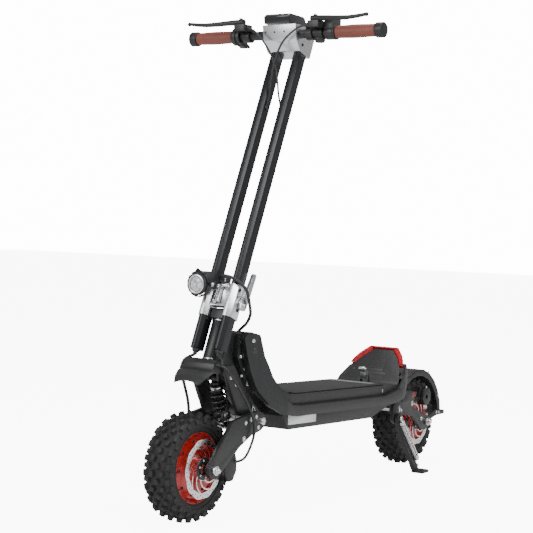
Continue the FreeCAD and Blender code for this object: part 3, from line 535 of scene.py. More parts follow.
def lug(bm, y, radius, size, lean=0.0, turn=0.0, skew=0.0, depth=0.6):
    """One tread block, standing on the carcass at the top of the wheel."""
    part = bmesh.new()
    bmesh.ops.create_cube(part, size=1, matrix=Matrix.Diagonal((*size, 1)))
    crown = [v for v in part.verts if v.co.z > 0]
    bmesh.ops.scale(part, vec=(0.82, 0.86, 1), verts=crown)
    bmesh.ops.bevel(
        part, geom=[e for e in part.edges if max(v.co.z for v in e.verts) > 0], offset=depth,
        offset_type="OFFSET", affect="EDGES", segments=1, profile=0.5, material=-1)
    place = Matrix.Rotation(turn, 4, "Y") @ Matrix.Translation((0, y, radius))
    place = place @ Matrix.Rotation(-lean, 4, "X") @ Matrix.Rotation(skew, 4, "Z")
    add(bm, part, place)


def knobby(name, centre, body, node):
    """Carcass turned about the axle, and one pitch of blocks repeated around it."""
    bm = bmesh.new()
    turned(bm, [
        (RIM - 2, 29.5), (RIM + 1, 31.5), (RIM + 4, 33), (RIM + 7, 33.4), (RIM + 9, 32.6), (93, 34.5),
        (99, 36.4), (106, 36), (112, 32.5), (116, 26), (118.4, 17), (119.6, 7), (119.8, 0),
        (119.6, -7), (118.4, -17), (116, -26), (112, -32.5), (106, -36), (99, -36.4), (93, -34.5),
        (RIM + 9, -32.6), (RIM + 7, -33.4), (RIM + 4, -33), (RIM + 1, -31.5), (RIM - 2, -29.5),
        (RIM - 2, 29.5),
    ], aim((0, 0, 0), (0, 1, 0)), 104)
    tread = bmesh.new()
    step = math.tau / PITCHES
    for side in (-1, 1):
        shift = 0 if side > 0 else step / 2
        lug(tread, side * 6.8, 122.6, (13.5, 9.6, 10), 0.0, shift, side * 0.25)
        lug(tread, side * 18.8, 120.6, (12.5, 8.8, 10), side * 0.18, shift + step * 0.48, -side * 0.2)
        lug(tread, side * 30.0, 115.6, (15.5, 9.5, 10), side * 0.66, shift + step * 0.02, side * 0.1)
        lug(tread, side * 36.0, 107.6, (12.5, 11, 7), side * 1.22, shift + step * 0.52, 0)
    bmesh.ops.spin(
        tread, geom=tread.verts[:] + tread.edges[:] + tread.faces[:], cent=(0, 0, 0), axis=(0, 1, 0),
        angle=math.tau * (PITCHES - 1) / PITCHES, steps=PITCHES - 1, use_duplicate=True)
    add(bm, tread, Matrix())
    for v in bm.verts:
        reach = math.hypot(v.co.x, v.co.z)
        if reach > TYRE:
            v.co.x *= TYRE / reach
            v.co.z *= TYRE / reach
    bmesh.ops.transform(bm, matrix=Matrix.Translation(centre) @ Matrix.Scale(MM, 4), verts=bm.verts)
    settle(bm, name, tyre_rubber, body, [node], smooth=35)


knobby("front_knobby_tyre", front_centre, "front_wheel", "front_tyre")
knobby("rear_knobby_tyre", rear_centre, "rear_wheel", "rear_tyre")

# ---------------------------------------------------------------- hubs and brake rotors
# Cast hub motors in red gloss enamel, closed by screwed side covers, and a stamped steel
# rotor with a waved edge, drilled brake band and swept spokes, held by six bright screws.

red_enamel = finish(
    "red_enamel", (0.50, 0.016, 0.012), (0.75, 0.10, 0.07), 0.5, 0.30, 800, 0.05, metal=0.35, coat=0.6)
rotor_steel = finish(
    "rotor_steel", (0.74, 0.74, 0.75), (0.95, 0.95, 0.95), 0.4, 0.24, 260, 0.06, metal=1.0)
ROTOR, FACE = 70, 44


def ring_of(part, radius, steps=24, wave=0.0, waves=0, centre=(0, 0)):
    """The edges of a round outline, waved if asked."""
    ring = bmesh.ops.create_circle(part, segments=steps, radius=radius, cap_ends=False)["verts"]
    for v in ring:
        turn = math.atan2(v.co.y, v.co.x)
        v.co.xy = v.co.xy * (1 + wave * math.cos(waves * turn) / radius) + Vector(centre)
    return list({e for v in ring for e in v.link_edges})


def rotor_disc():
    """A flat drilled disc in its own X-Y plane, filled between its outlines and thickened."""
    part = bmesh.new()
    edges = ring_of(part, ROTOR - 1.2, 160, 1.2, 10)
    edges += ring_of(part, 23, 48)
    for k in range(40):
        turn = math.tau * k / 40
        reach = (64.9, 60.4)[k % 2]
        edges += ring_of(part, 1.9, 8, centre=(reach * math.cos(turn), reach * math.sin(turn)))
    for k in range(10):
        window = []
        for reach, turn in (
            (27, 0.02), (27, 0.50), (34, 0.66), (41, 0.85), (48, 1.07), (56, 1.34),
            (56, 0.84), (48, 0.58), (41, 0.34), (34, 0.14),
        ):
            turn += math.tau * k / 10
            window.append(part.verts.new((reach * math.cos(turn), reach * math.sin(turn), 0)))
        edges += [part.edges.new((a, b)) for a, b in zip(window, window[1:] + window[:1])]
    bmesh.ops.triangle_fill(part, use_beauty=True, use_dissolve=False, edges=edges)
    raised = bmesh.ops.extrude_face_region(part, geom=part.faces[:])["geom"]
    bmesh.ops.translate(
        part, vec=(0, 0, 1.9), verts=[v for v in raised if isinstance(v, bmesh.types.BMVert)])
    return part


for end, centre in (("front", front_centre), ("rear", rear_centre)):
    body = end + "_wheel"
    wheel_frame = Matrix.Translation(centre) @ Matrix.Scale(MM, 4)
    refined(end + "_hub", end + "_motor_hub", red_enamel, body, 1.2)
    bm = bmesh.new()
    add(bm, rotor_disc(), aim((0, FACE + 0.05, 0), (0, 1, 0)))
    settle(bm, end + "_brake_disc", rotor_steel, body, [end + "_rotor"], smooth=30,
           place=wheel_frame)
    bm = bmesh.new()
    turned(bm, [(13, 0), (25.5, 0), (25.5, 1.4), (23, 3), (15, 3.4), (13, 3.0), (13, 0)],
           aim((0, FACE + 1.9, 0), (0, 1, 0)), 48)
    for k in range(12):
        turn = math.tau * k / 12
        spot = (79.5 * math.cos(turn), 28.6, 79.5 * math.sin(turn))
        screw(bm, spot, (0, 1, 0), 2.4, 1.4, 10)
        screw(bm, (spot[0], -28.6, spot[2]), (0, -1, 0), 2.4, 1.4, 10)
    for k in range(9):
        turn = math.tau * k / 9
        screw(bm, (62 * math.cos(turn), -21.4, 62 * math.sin(turn)), (0, -1, 0), 3.6, 2.4, 12)
        screw(bm, (62 * math.cos(turn), 21.4, 62 * math.sin(turn)), (0, 1, 0), 3.6, 2.4, 12)
    settle(bm, end + "_hub_fixings", powder_black, body, place=wheel_frame)
    bm = bmesh.new()
    for k in range(6):
        turn = math.tau * k / 6 + 0.3
        screw(bm, (20 * math.cos(turn), FACE + 5, 20 * math.sin(turn)), (0, 1, 0), 2.6, 1.8, 12)
    settle(bm, end + "_rotor_screws", bright_steel, body, place=wheel_frame)

# ---------------------------------------------------------------- arms, axles and pivots
# Flame-cut and milled alloy arms in satin grey powder coat, one pair leading to the front
# wheel and one trailing to the rear, on bright steel pivots and axles with domed nuts.

satin_grey = finish(
    "satin_grey", (0.014, 0.0145, 0.0155), (0.07, 0.07, 0.074), 0.5, 0.40, 1300, 0.09, drift=0.15)
refined("front_arm", "front_swing_arms", satin_grey, "front_swing", 2.2, 3)
refined("rear_arm", "rear_swing_arms", satin_grey, "rear_swing", 2.2, 3)
refined("front_pivot", "front_pivot_shaft", bright_steel, "steering", 1.2)
refined("rear_pivot", "rear_pivot_shaft", bright_steel, "frame", 1.2)
for end in ("front", "rear"):
    refined(end + "_axle", end + "_axle_shaft", bright_steel, end + "_swing", 1.0)


def fixings(name, spots, place, material, body, radius=4.0):
    """Socket screws at (point, direction) spots, some with their own radius."""
    bm = bmesh.new()
    for point, direction, *own in spots:
        size = own[0] if own else radius
        turned(bm, [(0, 0), (size * 1.5, 0), (size * 1.5, 0.9), (size, 1.1), (0, 1.1)],
               aim(point, direction), 18)
        screw(bm, Vector(point) + Vector(direction) * 1.1, direction, size)
    return settle(bm, name, material, body, place=place)


LEFT, RIGHT = (0, 1, 0), (0, -1, 0)


def both(x, y, z, *size):
    """The same screw on both faces."""
    return [((x, y, z), LEFT, *size), ((x, -y, z), RIGHT, *size)]


fixings("front_arm_screws",
        both(-118, 75, 185, 4.5) + both(-124, 75, 222, 3.4) + both(-146, 75, 228, 4)
        + both(-168, 75, 232, 3.4) + both(-178, 75, 206, 3.4),
        FRONT, bright_steel, "front_swing")
fixings("front_pivot_screws", both(-188, 82, 220, 6), FRONT, bright_steel, "steering")
fixings("rear_arm_screws", both(31, 75, 139, 4) + both(172, 75, 186, 3), REAR, bright_steel,
        "rear_swing")
fixings("rear_pivot_screws", both(190, 85.6, 182, 6) + both(206, 86, 187, 3) + both(176, 86, 178, 3),
        REAR, bright_steel, "frame")
for end, place in (("front", FRONT), ("rear", REAR)):
    bm = bmesh.new()
    for side in (1, -1):
        turned(bm, [(0, 10), (3, 9.6), (5.4, 8.2), (6.8, 5.5), (7.2, 3), (8.6, 2.8), (8.6, 0), (0, 0)],
               aim((0, side * 83, 127.5), (0, side, 0)), 30)
    settle(bm, end + "_dome_nuts", bright_steel, end + "_swing", place=place)
bm = bmesh.new()
triangle = [(-178, 256), (-194, 240), (-180, 230)]
for low, high in zip(triangle, triangle[1:] + triangle[:1]):
    across = (Vector(high) - Vector(low)).normalized().orthogonal() * 1.6
    plate(bm, [Vector(low) + across, Vector(high) + across, Vector(high) - across, Vector(low) - across],
          55, 2.4, Matrix(), 0.5)
mirrored(bm)
settle(bm, "steering_stop_links", bright_steel, "steering", place=FRONT)

# ---------------------------------------------------------------- shocks
# Oil dampers with a black body, a chromed rod and one black coil spring between two seats.

spring_black = finish(
    "spring_black", (0.016, 0.016, 0.017), (0.20, 0.20, 0.21), 0.6, 0.22, 900, 0.04, coat=0.5)


def coil(bm, radius, wire, low, high, turns, place=Matrix(), per_turn=28):
    """A helical spring with closed ends about the local Z."""
    part = bmesh.new()
    bmesh.ops.create_circle(
        part, segments=10, radius=wire,
        matrix=Matrix.Translation((radius, 0, low + wire)) @ Matrix.Rotation(math.radians(90), 4, "X"))
    steps = round(turns * per_turn)
    bmesh.ops.spin(
        part, geom=part.verts[:] + part.edges[:], cent=(0, 0, 0), axis=(0, 0, 1),
        dvec=(0, 0, (high - low - 2 * wire) / steps), angle=math.tau * turns, steps=steps,
        use_duplicate=False)
    bmesh.ops.holes_fill(part, edges=part.edges, sides=10)
    add(bm, part, place)


for end, place, low, high, reach, outer, fixed in (
    ("front", FRONT, (-142, 210), (-105, 322), 17.2, 20, "steering"),
    ("rear", REAR, (140, 190), (150, 272), 17.2, 18, "frame"),
):
    span = math.dist(low, high)
    lean = -math.atan2(high[0] - low[0], high[1] - low[1])
    shock_frame = working_frame(place @ Vector((low[0], 0, low[1])), lean)
    refined(end + "_shock_body", end + "_damper", powder_black, fixed, 0.8)
    refined(end + "_shock_rod", end + "_damper_rod", bright_steel, end + "_rod", 0.8)
    bm = bmesh.new()
    coil(bm, outer - 2.6, 2.5, reach, span - reach, 5.5 if end == "front" else 3.5)
    spring = settle(bm, end + "_coil", spring_black, None, [end + "_spring"],
                    place=shock_frame)
    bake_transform(spring)
    bm = bmesh.new()
    for height in (span - 21, span - 24.5):
        turned(bm, [(outer - 7.9, 0), (outer - 2.5, 0), (outer - 2.5, 2), (outer - 7.9, 2), (outer - 7.9, 0)],
               Matrix.Translation((0, 0, height)), 30)
    settle(bm, end + "_preload_rings", bare_alloy, fixed, place=shock_frame)

# ---------------------------------------------------------------- brake calipers
# Cable-pulled two-piece calipers, die cast and painted black, bolted to the arms with the
# cable stop and pull arm on the outer half.

for end, place, x, z in (("front", FRONT, -82, 125), ("rear", REAR, -20, 195)):
    body = end + "_swing"
    bm = taken(end + "_caliper")
    low, high = ([pick(v.co[axis] for v in bm.verts) / MM for axis in range(3)] for pick in (min, max))
    bm.free()
    low, high = (Vector(corner) - place.translation / MM for corner in (low, high))
    bm = bmesh.new()
    cut, wide = 0.30, high - low
    outline = [
        (low.x, low.z + cut * wide.z), (low.x + cut * wide.x, low.z), (high.x - cut * wide.x, low.z),
        (high.x, low.z + 0.4 * wide.z), (high.x - 0.1 * wide.x, high.z - cut * wide.z),
        (high.x - cut * wide.x, high.z), (low.x + 0.2 * wide.x, high.z), (low.x, high.z - cut * wide.z),
    ]
    half = 0.5 * wide.y - 0.6
    plate(bm, outline, low.y, half, Matrix(), 1.2, 4)
    plate(bm, [(0.5 * (x + low.x + 0.5 * wide.x), 0.5 * (z + low.z + 0.5 * wide.z)) for x, z in outline],
          low.y + half - 1, 4, Matrix(), 0.4, 2)
    plate(bm, outline, low.y + half + 1.2, half, Matrix(), 1.2, 4)
    settle(bm, end + "_caliper_halves", powder_black, body, [end + "_caliper"], place=place)
    bm = bmesh.new()
    turned(bm, [(0, 9), (6, 9), (11, 7), (15, 4.5), (17, 1), (17, 0), (0, 0)],
           aim((x, 56, z), (0, 1, 0)) if end == "rear" else aim((x - 12, 55.5, z), (0, 1, 0)), 30)
    plate(bm, [(x - 20, z + 6), (x + 4, z + 16), (x + 8, z + 30), (x - 2, z + 33), (x - 24, z + 14)],
          58, 4, Matrix(), 0.8, 2)
    plate(bm, [(x - 22, z - 20), (x - 10, z - 24), (x + 14, z - 10), (x + 8, z - 2), (x - 16, z - 12)],
          57, 4, Matrix(), 0.8, 2)
    settle(bm, end + "_caliper_arm", powder_black, body, place=place)
    fixings(end + "_caliper_screws", [
        ((x, 62, z + 28), LEFT, 2.6), ((x - 16, 61, z - 18), LEFT, 2.6), ((x + 6, 61, z - 6), LEFT, 2.6),
    ], place, bright_steel, body)

# ---------------------------------------------------------------- deck
# A moulded cover over the tub, with a ribbed rubber mat pressed into it, between two cast
# rails that sweep up to the neck in front and wrap the footrest behind.

cover_plastic = finish(
    "cover_plastic", (0.016, 0.0165, 0.0175), (0.07, 0.07, 0.073), 0.4, 0.46, 1500, 0.13, drift=0.12)
refined("deck_cover", "moulded_deck_cover", cover_plastic, "frame", 2.6, 3)
refined("side_rails", "cast_rails", satin_grey, "frame", 5.0, 4)

mat_rubber = finish(
    "mat_rubber", (0.017, 0.0175, 0.018), (0.06, 0.06, 0.06), 0.4, 0.66, 700, 0.18, drift=0.2)


def pressed(material, pattern, height, strength, distance):
    """Press a texture's pattern into a grained finish."""
    tree = material.node_tree
    spot = texture_node(tree, "TexCoord")
    relief = texture_node(tree, "Bump", {"Strength": strength, "Distance": distance})
    wire(tree, [
        (spot.outputs["Object"], pattern.inputs["Vector"]),
        (pattern.outputs[height], relief.inputs["Height"]),
        (tree.nodes["grain"].outputs["Normal"], relief.inputs["Normal"]),
        (relief.outputs["Normal"], tree.nodes["Principled BSDF"].inputs["Normal"]),
    ])


ribs = texture_node(
    mat_rubber.node_tree, "TexWave", {"Scale": 60}, bands_direction="Y", wave_profile="SIN")
pressed(mat_rubber, ribs, "Fac", strength=0.35, distance=0.0008)
refined("deck_mat", "ribbed_mat", mat_rubber, "frame", 1.6, 3)

stripe_grey = finish("stripe_grey", (0.36, 0.37, 0.38), (0.5, 0.5, 0.5), 0.3, 0.5, 900, 0.1)
bm = bmesh.new()
for x in (284, 296, 308):
    high = 220.5 + 0.0385 * x + 28
    plate(bm, [(x, high - 0.3), (x, high + 0.5), (x + 3, high + 0.62), (x + 3, high - 0.2)],
          -62, 124, Matrix(), 0.2)
plate(bm, [(296, 238), (296, 248), (301, 248), (301, 238)], 91.9, 0.7, Matrix(), 0.2, 2.2)
settle(bm, "mat_stripes", stripe_grey, "frame", place=REAR)

rail_face = Vector((0.367, 0.93, 0)).normalized()
fixings("rail_screws",
        [((880, 60.2, 410), rail_face, 3), ((880, -60.2, 410), rail_face * Vector((1, -1, 1)), 3)],
        REAR, bright_steel, "frame")
bm = bmesh.new()
for side in (1, -1):
    turned(bm, [(0, 1.2), (5, 1.2), (6.5, 0.8), (7.5, 0), (0, 0)],
           aim((874, side * 62.2, 386), (rail_face.x, side * rail_face.y, 0)), 28)
settle(bm, "rail_plugs", cable_black, "frame", place=REAR)

# ---------------------------------------------------------------- neck and steering head
# A welded box neck, its cheeks screwed on, carries the head tube. Bright bearing cups show
# at both ends of the tube, and a black steel hinge block stands on top of the steerer.

refined("neck_block", "welded_neck", powder_black, "frame", 3.0, 3)
refined("head_tube", "steering_head", satin_grey, "frame", 1.0)
refined("headset_bearings", "bearing_cups", bright_steel, "frame", 0.4)
bm = bmesh.new()
for low in (-64.5, 31.5):
    turned(bm, [(19.5, 0), (23.8, 0), (24.3, 0.8), (24.3, 3.2), (23.8, 4), (19.5, 4), (19.5, 0)],
           Matrix.Translation((0, 0, low)), 56)
settle(bm, "headset_rings", bright_steel, "frame", place=HEAD)
fixings("neck_screws",
        both(895, 36, 408) + both(897, 36, 372) + both(882, 36, 342, 3.2)
        + both(892, 36, 326, 3.2) + both(866, 36, 306), REAR, bright_steel, "frame")
refined("steerer", "steerer_and_hinge", powder_black, "steering", 1.2)
refined("hinge_pin", "hinge_bolt", bright_steel, "steering", 0.8)

# ---------------------------------------------------------------- footrest and rear light
# The sloping rear footrest is moulded plastic with pressed louvres, over which a red
# acrylic light wraps the top corners. A folding steel hook catches the lowered handlebar.

RAMP = REAR @ Matrix.Translation((204, 0, 258)) @ Matrix((
    (-0.6988, 0, 0.7153, 0), (0, -1, 0, 0), (0.7153, 0, 0.6988, 0), (0, 0, 0, 1)))
refined("footrest", "footrest_shell", cover_plastic, "frame", 2.4, 3)
refined("stem_hook", "folding_hook", bright_steel, "hook", 1.2)



def faceted(name, centre, rim, scale, roughness, coat, coat_roughness, strength, distance,
            rim_at=1.0, metric="EUCLIDEAN"):
    """A moulded lens: cells that shade from their centre to their rim, under a clear coat."""
    made = bpy.data.materials.new(name)
    made.use_nodes = True
    tree = made.node_tree
    lens = tree.nodes["Principled BSDF"]
    lens.inputs["Roughness"].default_value = roughness
    lens.inputs["Coat Weight"].default_value = coat
    lens.inputs["Coat Roughness"].default_value = coat_roughness
    spot = texture_node(tree, "TexCoord")
    cells = texture_node(tree, "TexVoronoi", {"Scale": scale}, distance=metric)
    shade = texture_node(tree, "ValToRGB")
    inner, outer = shade.color_ramp.elements
    inner.color = (*centre, 1)
    outer.color = (*rim, 1)
    outer.position = rim_at
    relief = texture_node(tree, "Bump", {"Strength": strength, "Distance": distance})
    wire(tree, [
        (spot.outputs["Object"], cells.inputs["Vector"]), (cells.outputs["Distance"], shade.inputs["Fac"]),
        (shade.outputs["Color"], lens.inputs["Base Color"]),
        (cells.outputs["Distance"], relief.inputs["Height"]),
        (relief.outputs["Normal"], lens.inputs["Normal"]),
    ])
    return made


def block(bm, size, edge, place, steps=2):
    """A small box with its edges broken."""
    part = bmesh.new()
    bmesh.ops.create_cube(part, size=1, matrix=Matrix.Diagonal((*size, 1)))
    soften(part, edge, steps, 50)
    add(bm, part, place)


red_lens = faceted(
    "red_lens", (0.62, 0.004, 0.010), (0.22, 0.001, 0.003), 90, roughness=0.25, coat=0.35,
    coat_roughness=0.04, strength=0.08, distance=0.0008, rim_at=0.8, metric="CHEBYCHEV")
refined("rear_light", "wrap_round_light", red_lens, "frame", 1.6, 3)

bm = bmesh.new()
for k in range(7):
    far = 46 + 9 * k
    wide = 27 - 1.2 * k
    block(bm, (3.4, 2 * wide, 1.6), 0.7,
          Matrix.Translation((far, 0, 0)) @ Matrix.Rotation(math.radians(-14), 4, "Y"))
for far, wide in ((22, 78), (34, 52)):
    block(bm, (12, wide, 1.0), 0.45, Matrix.Translation((far, 0, 0.1)))
for side in (1, -1):
    turned(bm, [(0, 0.5), (3.4, 0.5), (4.2, 0), (0, 0)], Matrix.Translation((34, side * 66, 0)), 20)
cavity = bmesh.new()
face = [cavity.verts.new(spot) for spot in (
    (-2, -40, 0.5), (28, -27, 0.5), (28, 27, 0.5), (-2, 40, 0.5))]
cavity.faces.new(face)
raised = bmesh.ops.extrude_face_region(cavity, geom=cavity.faces[:])["geom"]
bmesh.ops.translate(cavity, vec=(0, 0, -1.2), verts=[v for v in raised if isinstance(v, bmesh.types.BMVert)])
add(bm, cavity, Matrix())
settle(bm, "footrest_louvres", cable_black, "frame", place=RAMP)
bm = bmesh.new()
turned(bm, [(0, 12), (2.6, 11.4), (3.2, 9), (3.2, -9), (2.6, -11.4), (0, -12)],
       aim((246, 0, 291), (0, 1, 0)), 20)
turned(bm, [(2.6, 9), (4.2, 9), (4.2, -9), (2.6, -9), (2.6, 9)], aim((236, 0, 268), (0, 1, 0)), 20)
settle(bm, "hook_roller", bright_steel, "hook", place=REAR)

# ---------------------------------------------------------------- rear end and stand
# A moulded fender on two strut plates, welded pivot brackets, and a black steel kickstand
# with two chromed pull springs beside the leg.

refined("rear_fender", "skirted_fender", cover_plastic, "rear_swing", 0.9)
refined("rear_brackets", "pivot_brackets", powder_black, "frame", 1.4)
refined("stand_bracket", "stand_lug", powder_black, "frame", 1.4)
refined("stand_leg", "kickstand", powder_black, "stand", 1.6)
fixings("fender_screws",
        both(-84, 65, 145, 3) + both(-100, 65, 143, 3) + both(-128, 47, 188, 2.4) + both(-60, 47, 262, 2.4),
        REAR, bright_steel, "rear_swing")
fixings("stand_screws", [
    ((223, 112, 162), LEFT, 5), ((199, 109, 132), LEFT, 3), ((125, 109, 36), LEFT, 3),
    ((112, 109, 21), LEFT, 3),
], REAR, bright_steel, "stand")
bm = bmesh.new()
top, foot = Vector((222, 115.5, 150)), Vector((128, 114.5, 44))
run = foot - top
for shift in (-5, 5):
    offset = run.normalized().cross(Vector((0, 1, 0))) * shift
    coil(bm, 3.0, 1.0, 6, run.length - 6, 26, aim(top + offset, run), 12)
for spot in (top, foot):
    turned(bm, [(0, 4), (7, 4), (8, 3), (8, -3), (7, -4), (0, -4)], aim(spot, (0, 1, 0)), 20)
settle(bm, "stand_springs", bright_steel, "stand", place=REAR)

# ---------------------------------------------------------------- fork
# A forged crown clamps the steerer, and two side plates run back to the arm pivot. A thin
# flexible fender blade is screwed under the front of the crown.

refined("fork_crown", "forged_crown", satin_grey, "steering", 2.0, 3)
refined("fork_plates", "fork_side_plates", satin_grey, "steering", 1.4)
bm = taken("front_fender")
for y in range(-40, 41, 8):
    bmesh.ops.bisect_plane(
        bm, geom=bm.verts[:] + bm.edges[:] + bm.faces[:], plane_co=(0, y * MM, 0), plane_no=(0, 1, 0))
for v in bm.verts:
    ahead = max(0.0, (v.co.x - front_centre.x) / MM + 32) / 47
    v.co.z -= (3 + 5 * ahead) * MM * (v.co.y / (50 * MM)) ** 2
    v.co.y *= 1 - 0.34 * ahead ** 2
soften(bm, 1.0 * MM, 2, 50)
settle(bm, "fender_blade", cover_plastic, "steering", ["front_fender"], clean=False)
fixings("fork_screws",
        both(-90, 53, 330) + both(-112, 53, 312) + both(-74, 43, 352, 3) + both(-190, 53, 236, 3),
        FRONT, bright_steel, "steering")

# ---------------------------------------------------------------- folding stem
# Two D-section anodised tubes, clamped in a milled and polished fold block. A cam lever on
# the left and an eye bolt at the front lock it over the hinge. Rubber plugs close the tubes.

stem_grey = finish(
    "stem_grey", (0.012, 0.013, 0.015), (0.08, 0.085, 0.09), 0.3, 0.32, 500, 0.015, metal=0.3, spread=0.02,
    drift=0.03)
refined("stem_tubes", "stem_pair", stem_grey, "stem", 1.2, 3)
refined("fold_block", "milled_fold_block", bare_alloy, "stem", 1.6, 3)
refined("fold_lever", "cam_lever", bare_alloy, "fold_cam", 1.4, 3)
bm = bmesh.new()
for side in (1, -1):
    turned(bm, [(0, -13), (4.6, -13), (5.2, -12), (5.4, -8), (7.6, -6.5), (9.6, -3), (10, 0), (0, 0)],
           Matrix.Translation((27, side * 33, -44)), 32)
settle(bm, "stem_end_plugs", cable_black, "stem", place=HEAD)
bm = bmesh.new()
turned(bm, [(3.4, 3), (7.4, 3), (8.2, 2), (8.2, -2), (7.4, -3), (3.4, -3), (3.4, 3)],
       aim((45, 0, 72), (0, 1, 0)), 28)
turned(bm, [(0, 0), (3, 0), (3, 34), (0, 34)], Matrix.Translation((45, 0, 79)), 20)
turned(bm, [(0, 0), (5.6, 0), (5.6, 5), (5, 6), (0, 6)], Matrix.Translation((45, 0, 104)), 6)
for side in (1, -1):
    plate(bm, [(40, 66), (52, 70), (50, 112), (43, 117), (38, 100)], side * 6 - 1.5, 3, Matrix(), 0.6, 2)
turned(bm, [(0, 22), (4, 22), (4.6, 21), (4.6, -21), (4, -22), (0, -22)], aim((43, 0, 112), (0, 1, 0)), 20)
settle(bm, "eye_bolt_latch", bright_steel, "stem", place=HEAD)
fixings("fold_lever_bolt", [((12, 56.5, 75), LEFT, 5)], HEAD, bright_steel, "fold_cam")
fixings("fold_block_screws", [
    ((20, 47, 60), LEFT, 3), ((30, 47, 106), LEFT, 3), ((20, -47, 60), RIGHT, 3), ((30, -47, 106), RIGHT, 3),
], HEAD, powder_black, "stem")

# ---------------------------------------------------------------- bar clamp and display
# A cast clamp with a bright shell holds the handlebar on both stems, and carries the
# display: a glossy black face under a rounded visor.

refined("bar_clamp", "cast_bar_clamp", bare_alloy, "stem", 2.4, 3)
display_gloss = finish(
    "display_gloss", (0.008, 0.008, 0.010), (0.03, 0.03, 0.03), 0.2, 0.12, 400, 0.02, coat=0.8)
bm = taken("display")
base = min(v.co.z for v in bm.verts)
for v in bm.verts:
    v.co.z = base + 0.70 * (v.co.z - base)
soften(bm, 4.0 * MM, 4)
settle(bm, "display_pod", display_gloss, "stem", ["display"], clean=False)
level = HEAD @ Matrix.Translation((63, 0, 770)) @ Matrix.Rotation(rake, 4, "Y")
bm = bmesh.new()
block(bm, (46, 56, 1.2), 0.5, Matrix.Translation((-34, 0, 36)) @ Matrix.Rotation(math.radians(-48), 4, "Y")
    @ Matrix.Diagonal((0.25, 1, 1, 1)))
settle(bm, "display_window", display_gloss, "stem", place=level)
fixings("clamp_screws", [
    ((22, side * y, z), (0.93, 0, 0.25), 2.8) for side in (1, -1) for y, z in ((40, 6), (14, 6))
] + [((x, side * 48, z), (0, side, 0), 2.6) for side in (1, -1) for x, z in ((-40, -8), (-8, -26))],
    level, powder_black, "stem")

# ---------------------------------------------------------------- handlebar and grips
# A straight alloy bar in black, with smooth brown grips, a little fuller in the middle,
# between black lock rings and turned end caps.

refined("handlebar", "straight_bar", powder_black, "stem", 0.4)
refined("bar_ends", "turned_end_caps", powder_black, "stem", 1.6, 3)
brown_grip = finish(
    "brown_grip", (0.20, 0.052, 0.034), (0.30, 0.12, 0.085), 0.5, 0.48, 420, 0.30, drift=0.25)
pores = texture_node(brown_grip.node_tree, "TexVoronoi", {"Scale": 620})
pressed(brown_grip, pores, "Distance", strength=0.4, distance=0.0006)
bm = bmesh.new()
for side in (1, -1):
    profile = [(11.2, 0), (14.6, 0), (15.2, 1)]
    profile += [(15.3 + 1.2 * math.sin(math.pi * k / 12) ** 2, 4 + 8.5 * k) for k in range(13)]
    profile += [(15.2, 109), (14.6, 110), (11.2, 110), (11.2, 0)]
    turned(bm, profile, aim((0, side * 150, 0), (0, side, 0)), 48)
settle(bm, "brown_grips", brown_grip, "stem", ["grips"], place=BAR)
bm = bmesh.new()
for side in (1, -1):
    turned(bm, [(11.2, 0), (18, 0), (18.6, 0.8), (18.6, 6.2), (18, 7), (11.2, 7), (11.2, 0)],
           aim((0, side * 143.4, 0), (0, side, 0)), 44)
    screw(bm, (17.6, side * 147, 6), (1, 0, 0.3), 2.2, 1.4, 12)
settle(bm, "grip_lock_rings", powder_black, "stem", place=BAR)

# ---------------------------------------------------------------- brakes and switches
# Forged levers on clamped perches, a thumb throttle on the right, a switch pod with the
# horn on the left and a small mode pod beside it, all black.

black_plastic = finish(
    "black_plastic", (0.020, 0.020, 0.022), (0.09, 0.09, 0.09), 0.4, 0.40, 1600, 0.12, drift=0.1)
refined("brake_perches", "lever_perches", powder_black, "stem", 1.6, 3)
for side, word in ((1, "left"), (-1, "right")):
    bm = bmesh.new()
    knots = [(34, 98, 31), (35, 118, 31), (39, 142, 30), (43, 172, 28), (46, 205, 27), (46, 232, 29),
             (45, 254, 32)]
    rings = []
    for k, (x, y, z) in enumerate(knots):
        wide, high = 8.2 - 0.5 * k, 7.6 - 0.55 * k
        loop = [bm.verts.new(BAR @ Vector((
            x + wide * math.cos(math.tau * n / 14), side * y, z + high * math.sin(math.tau * n / 14))))
            for n in range(14)]
        rings.append([bm.edges.new((a, b)) for a, b in zip(loop, loop[1:] + loop[:1])])
    for low, high in zip(rings, rings[1:]):
        bmesh.ops.bridge_loops(bm, edges=low + high)
    bmesh.ops.holes_fill(bm, edges=bm.edges, sides=14)
    tip = bmesh.new()
    bmesh.ops.create_uvsphere(tip, u_segments=20, v_segments=12, radius=5.2)
    add(bm, tip, BAR @ Matrix.Translation((46.5, side * 256.5, 31.5)))
    settle(bm, word + "_brake_lever", powder_black, "brake_" + word,
           [word + "_lever"], clean=False)
fixings("lever_pins", [((34, side * 108, 39), (0, 0, 1), 4) for side in (1, -1)]
        + [((25, side * 97, 18), (1, 0, 0.2), 2.4) for side in (1, -1)],
        BAR, bright_steel, "stem")
refined("throttle_body", "throttle_drum", black_plastic, "stem", 1.4, 3)
refined("throttle_paddle", "thumb_throttle", black_plastic, "throttle", 1.4, 3)
refined("switch_pod", "switch_housing", black_plastic, "stem", 2.2, 3)
refined("horn_button", "horn_push", red_enamel, "horn", 0.8)
bm = bmesh.new()
turned(bm, [(11.2, 0), (15.6, 0), (16.6, 1), (16.6, 17), (15.6, 18), (11.2, 18), (11.2, 0)],
       aim((0, 68, 0), (0, 1, 0)), 40)
block(bm, (24, 20, 12), 3, Matrix.Translation((4, 77, 19)), 3)
turned(bm, [(0, 12), (9, 12), (11.5, 10.5), (13, 7), (13.4, 0), (0, 0)], aim((0, 103, -12), (0, 0, -1)), 32)
settle(bm, "mode_pod_and_bell", black_plastic, "stem", place=BAR)

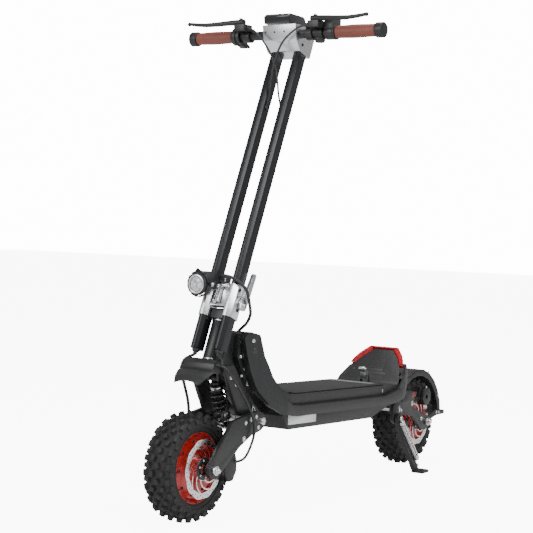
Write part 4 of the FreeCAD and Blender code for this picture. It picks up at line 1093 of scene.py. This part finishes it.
# ---------------------------------------------------------------- headlight
# A finned, turned housing in an eight-sided cage, with a bright bezel, a chromed reflector
# and a domed glass, tilting between the two cheeks of its bracket.

refined("headlight_bracket", "lamp_bracket", powder_black, "stem", 1.0)
bm = bmesh.new()
profile = [(0, -12), (13, -12), (15, -11)]
for k in range(5):
    near = -9 + 4.4 * k
    profile += [(17 + 1.9 * k, near), (17.4 + 1.9 * k, near + 1.6), (15.6 + 1.9 * k, near + 2.2),
                (15.6 + 1.9 * k, near + 4)]
profile += [(26, 14), (26.8, 15), (26.8, 20.6), (26, 21.6), (22.5, 21.6), (22.5, 8), (0, 0), (0, -12)]
turned(bm, profile, aim((0, 0, 0), (1, 0, 0)), 56)
settle(bm, "lamp_housing", powder_black, "lamp", ["headlight"], place=LAMP)
bm = bmesh.new()
turned(bm, [(18.6, 19), (19, 23.4), (20.2, 24), (22, 23.4), (22.6, 21), (22.6, 18.4), (18.6, 18.4),
            (18.6, 19)],
       aim((0, 0, 0), (1, 0, 0)), 64)
turned(bm, [(18.8, 19), (16, 14), (12, 10), (8, 8.6), (4, 8), (0, 8), (0, 6), (19, 9), (18.8, 19)],
       aim((0, 0, 0), (1, 0, 0)), 56)
settle(bm, "lamp_bezel_reflector", bare_alloy, "lamp", place=LAMP)
bm = bmesh.new()
for k in range(8):
    turn = math.tau * (k + 0.5) / 8
    block(bm, (9, 17, 3.4), 0.9, Matrix.Rotation(turn, 4, "X") @ Matrix.Translation((12, 0, 28.8)))
settle(bm, "lamp_cage", powder_black, "lamp", place=LAMP)

lamp_glass = faceted(
    "lamp_glass", (1, 1, 1), (0.22, 0.24, 0.27), 160, roughness=0.08, coat=1.0, coat_roughness=0.03,
    strength=0.35, distance=0.001)
bm = bmesh.new()
turned(bm, [(0, 23.6), (6, 23.3), (11, 22.4), (15, 21.2), (17.4, 19.6), (18.6, 18), (18.6, 16), (0, 16)],
       aim((0, 0, 0), (1, 0, 0)), 48)
settle(bm, "lamp_lens", lamp_glass, "lamp", place=LAMP)
fixings("lamp_tilt_screws", [
    ((72, -65, 102), RIGHT, 4), ((72, -3, 102), LEFT, 4),
    ((30, -65, 131), RIGHT, 3), ((30, -3, 131), LEFT, 3),
], HEAD, bright_steel, "stem")
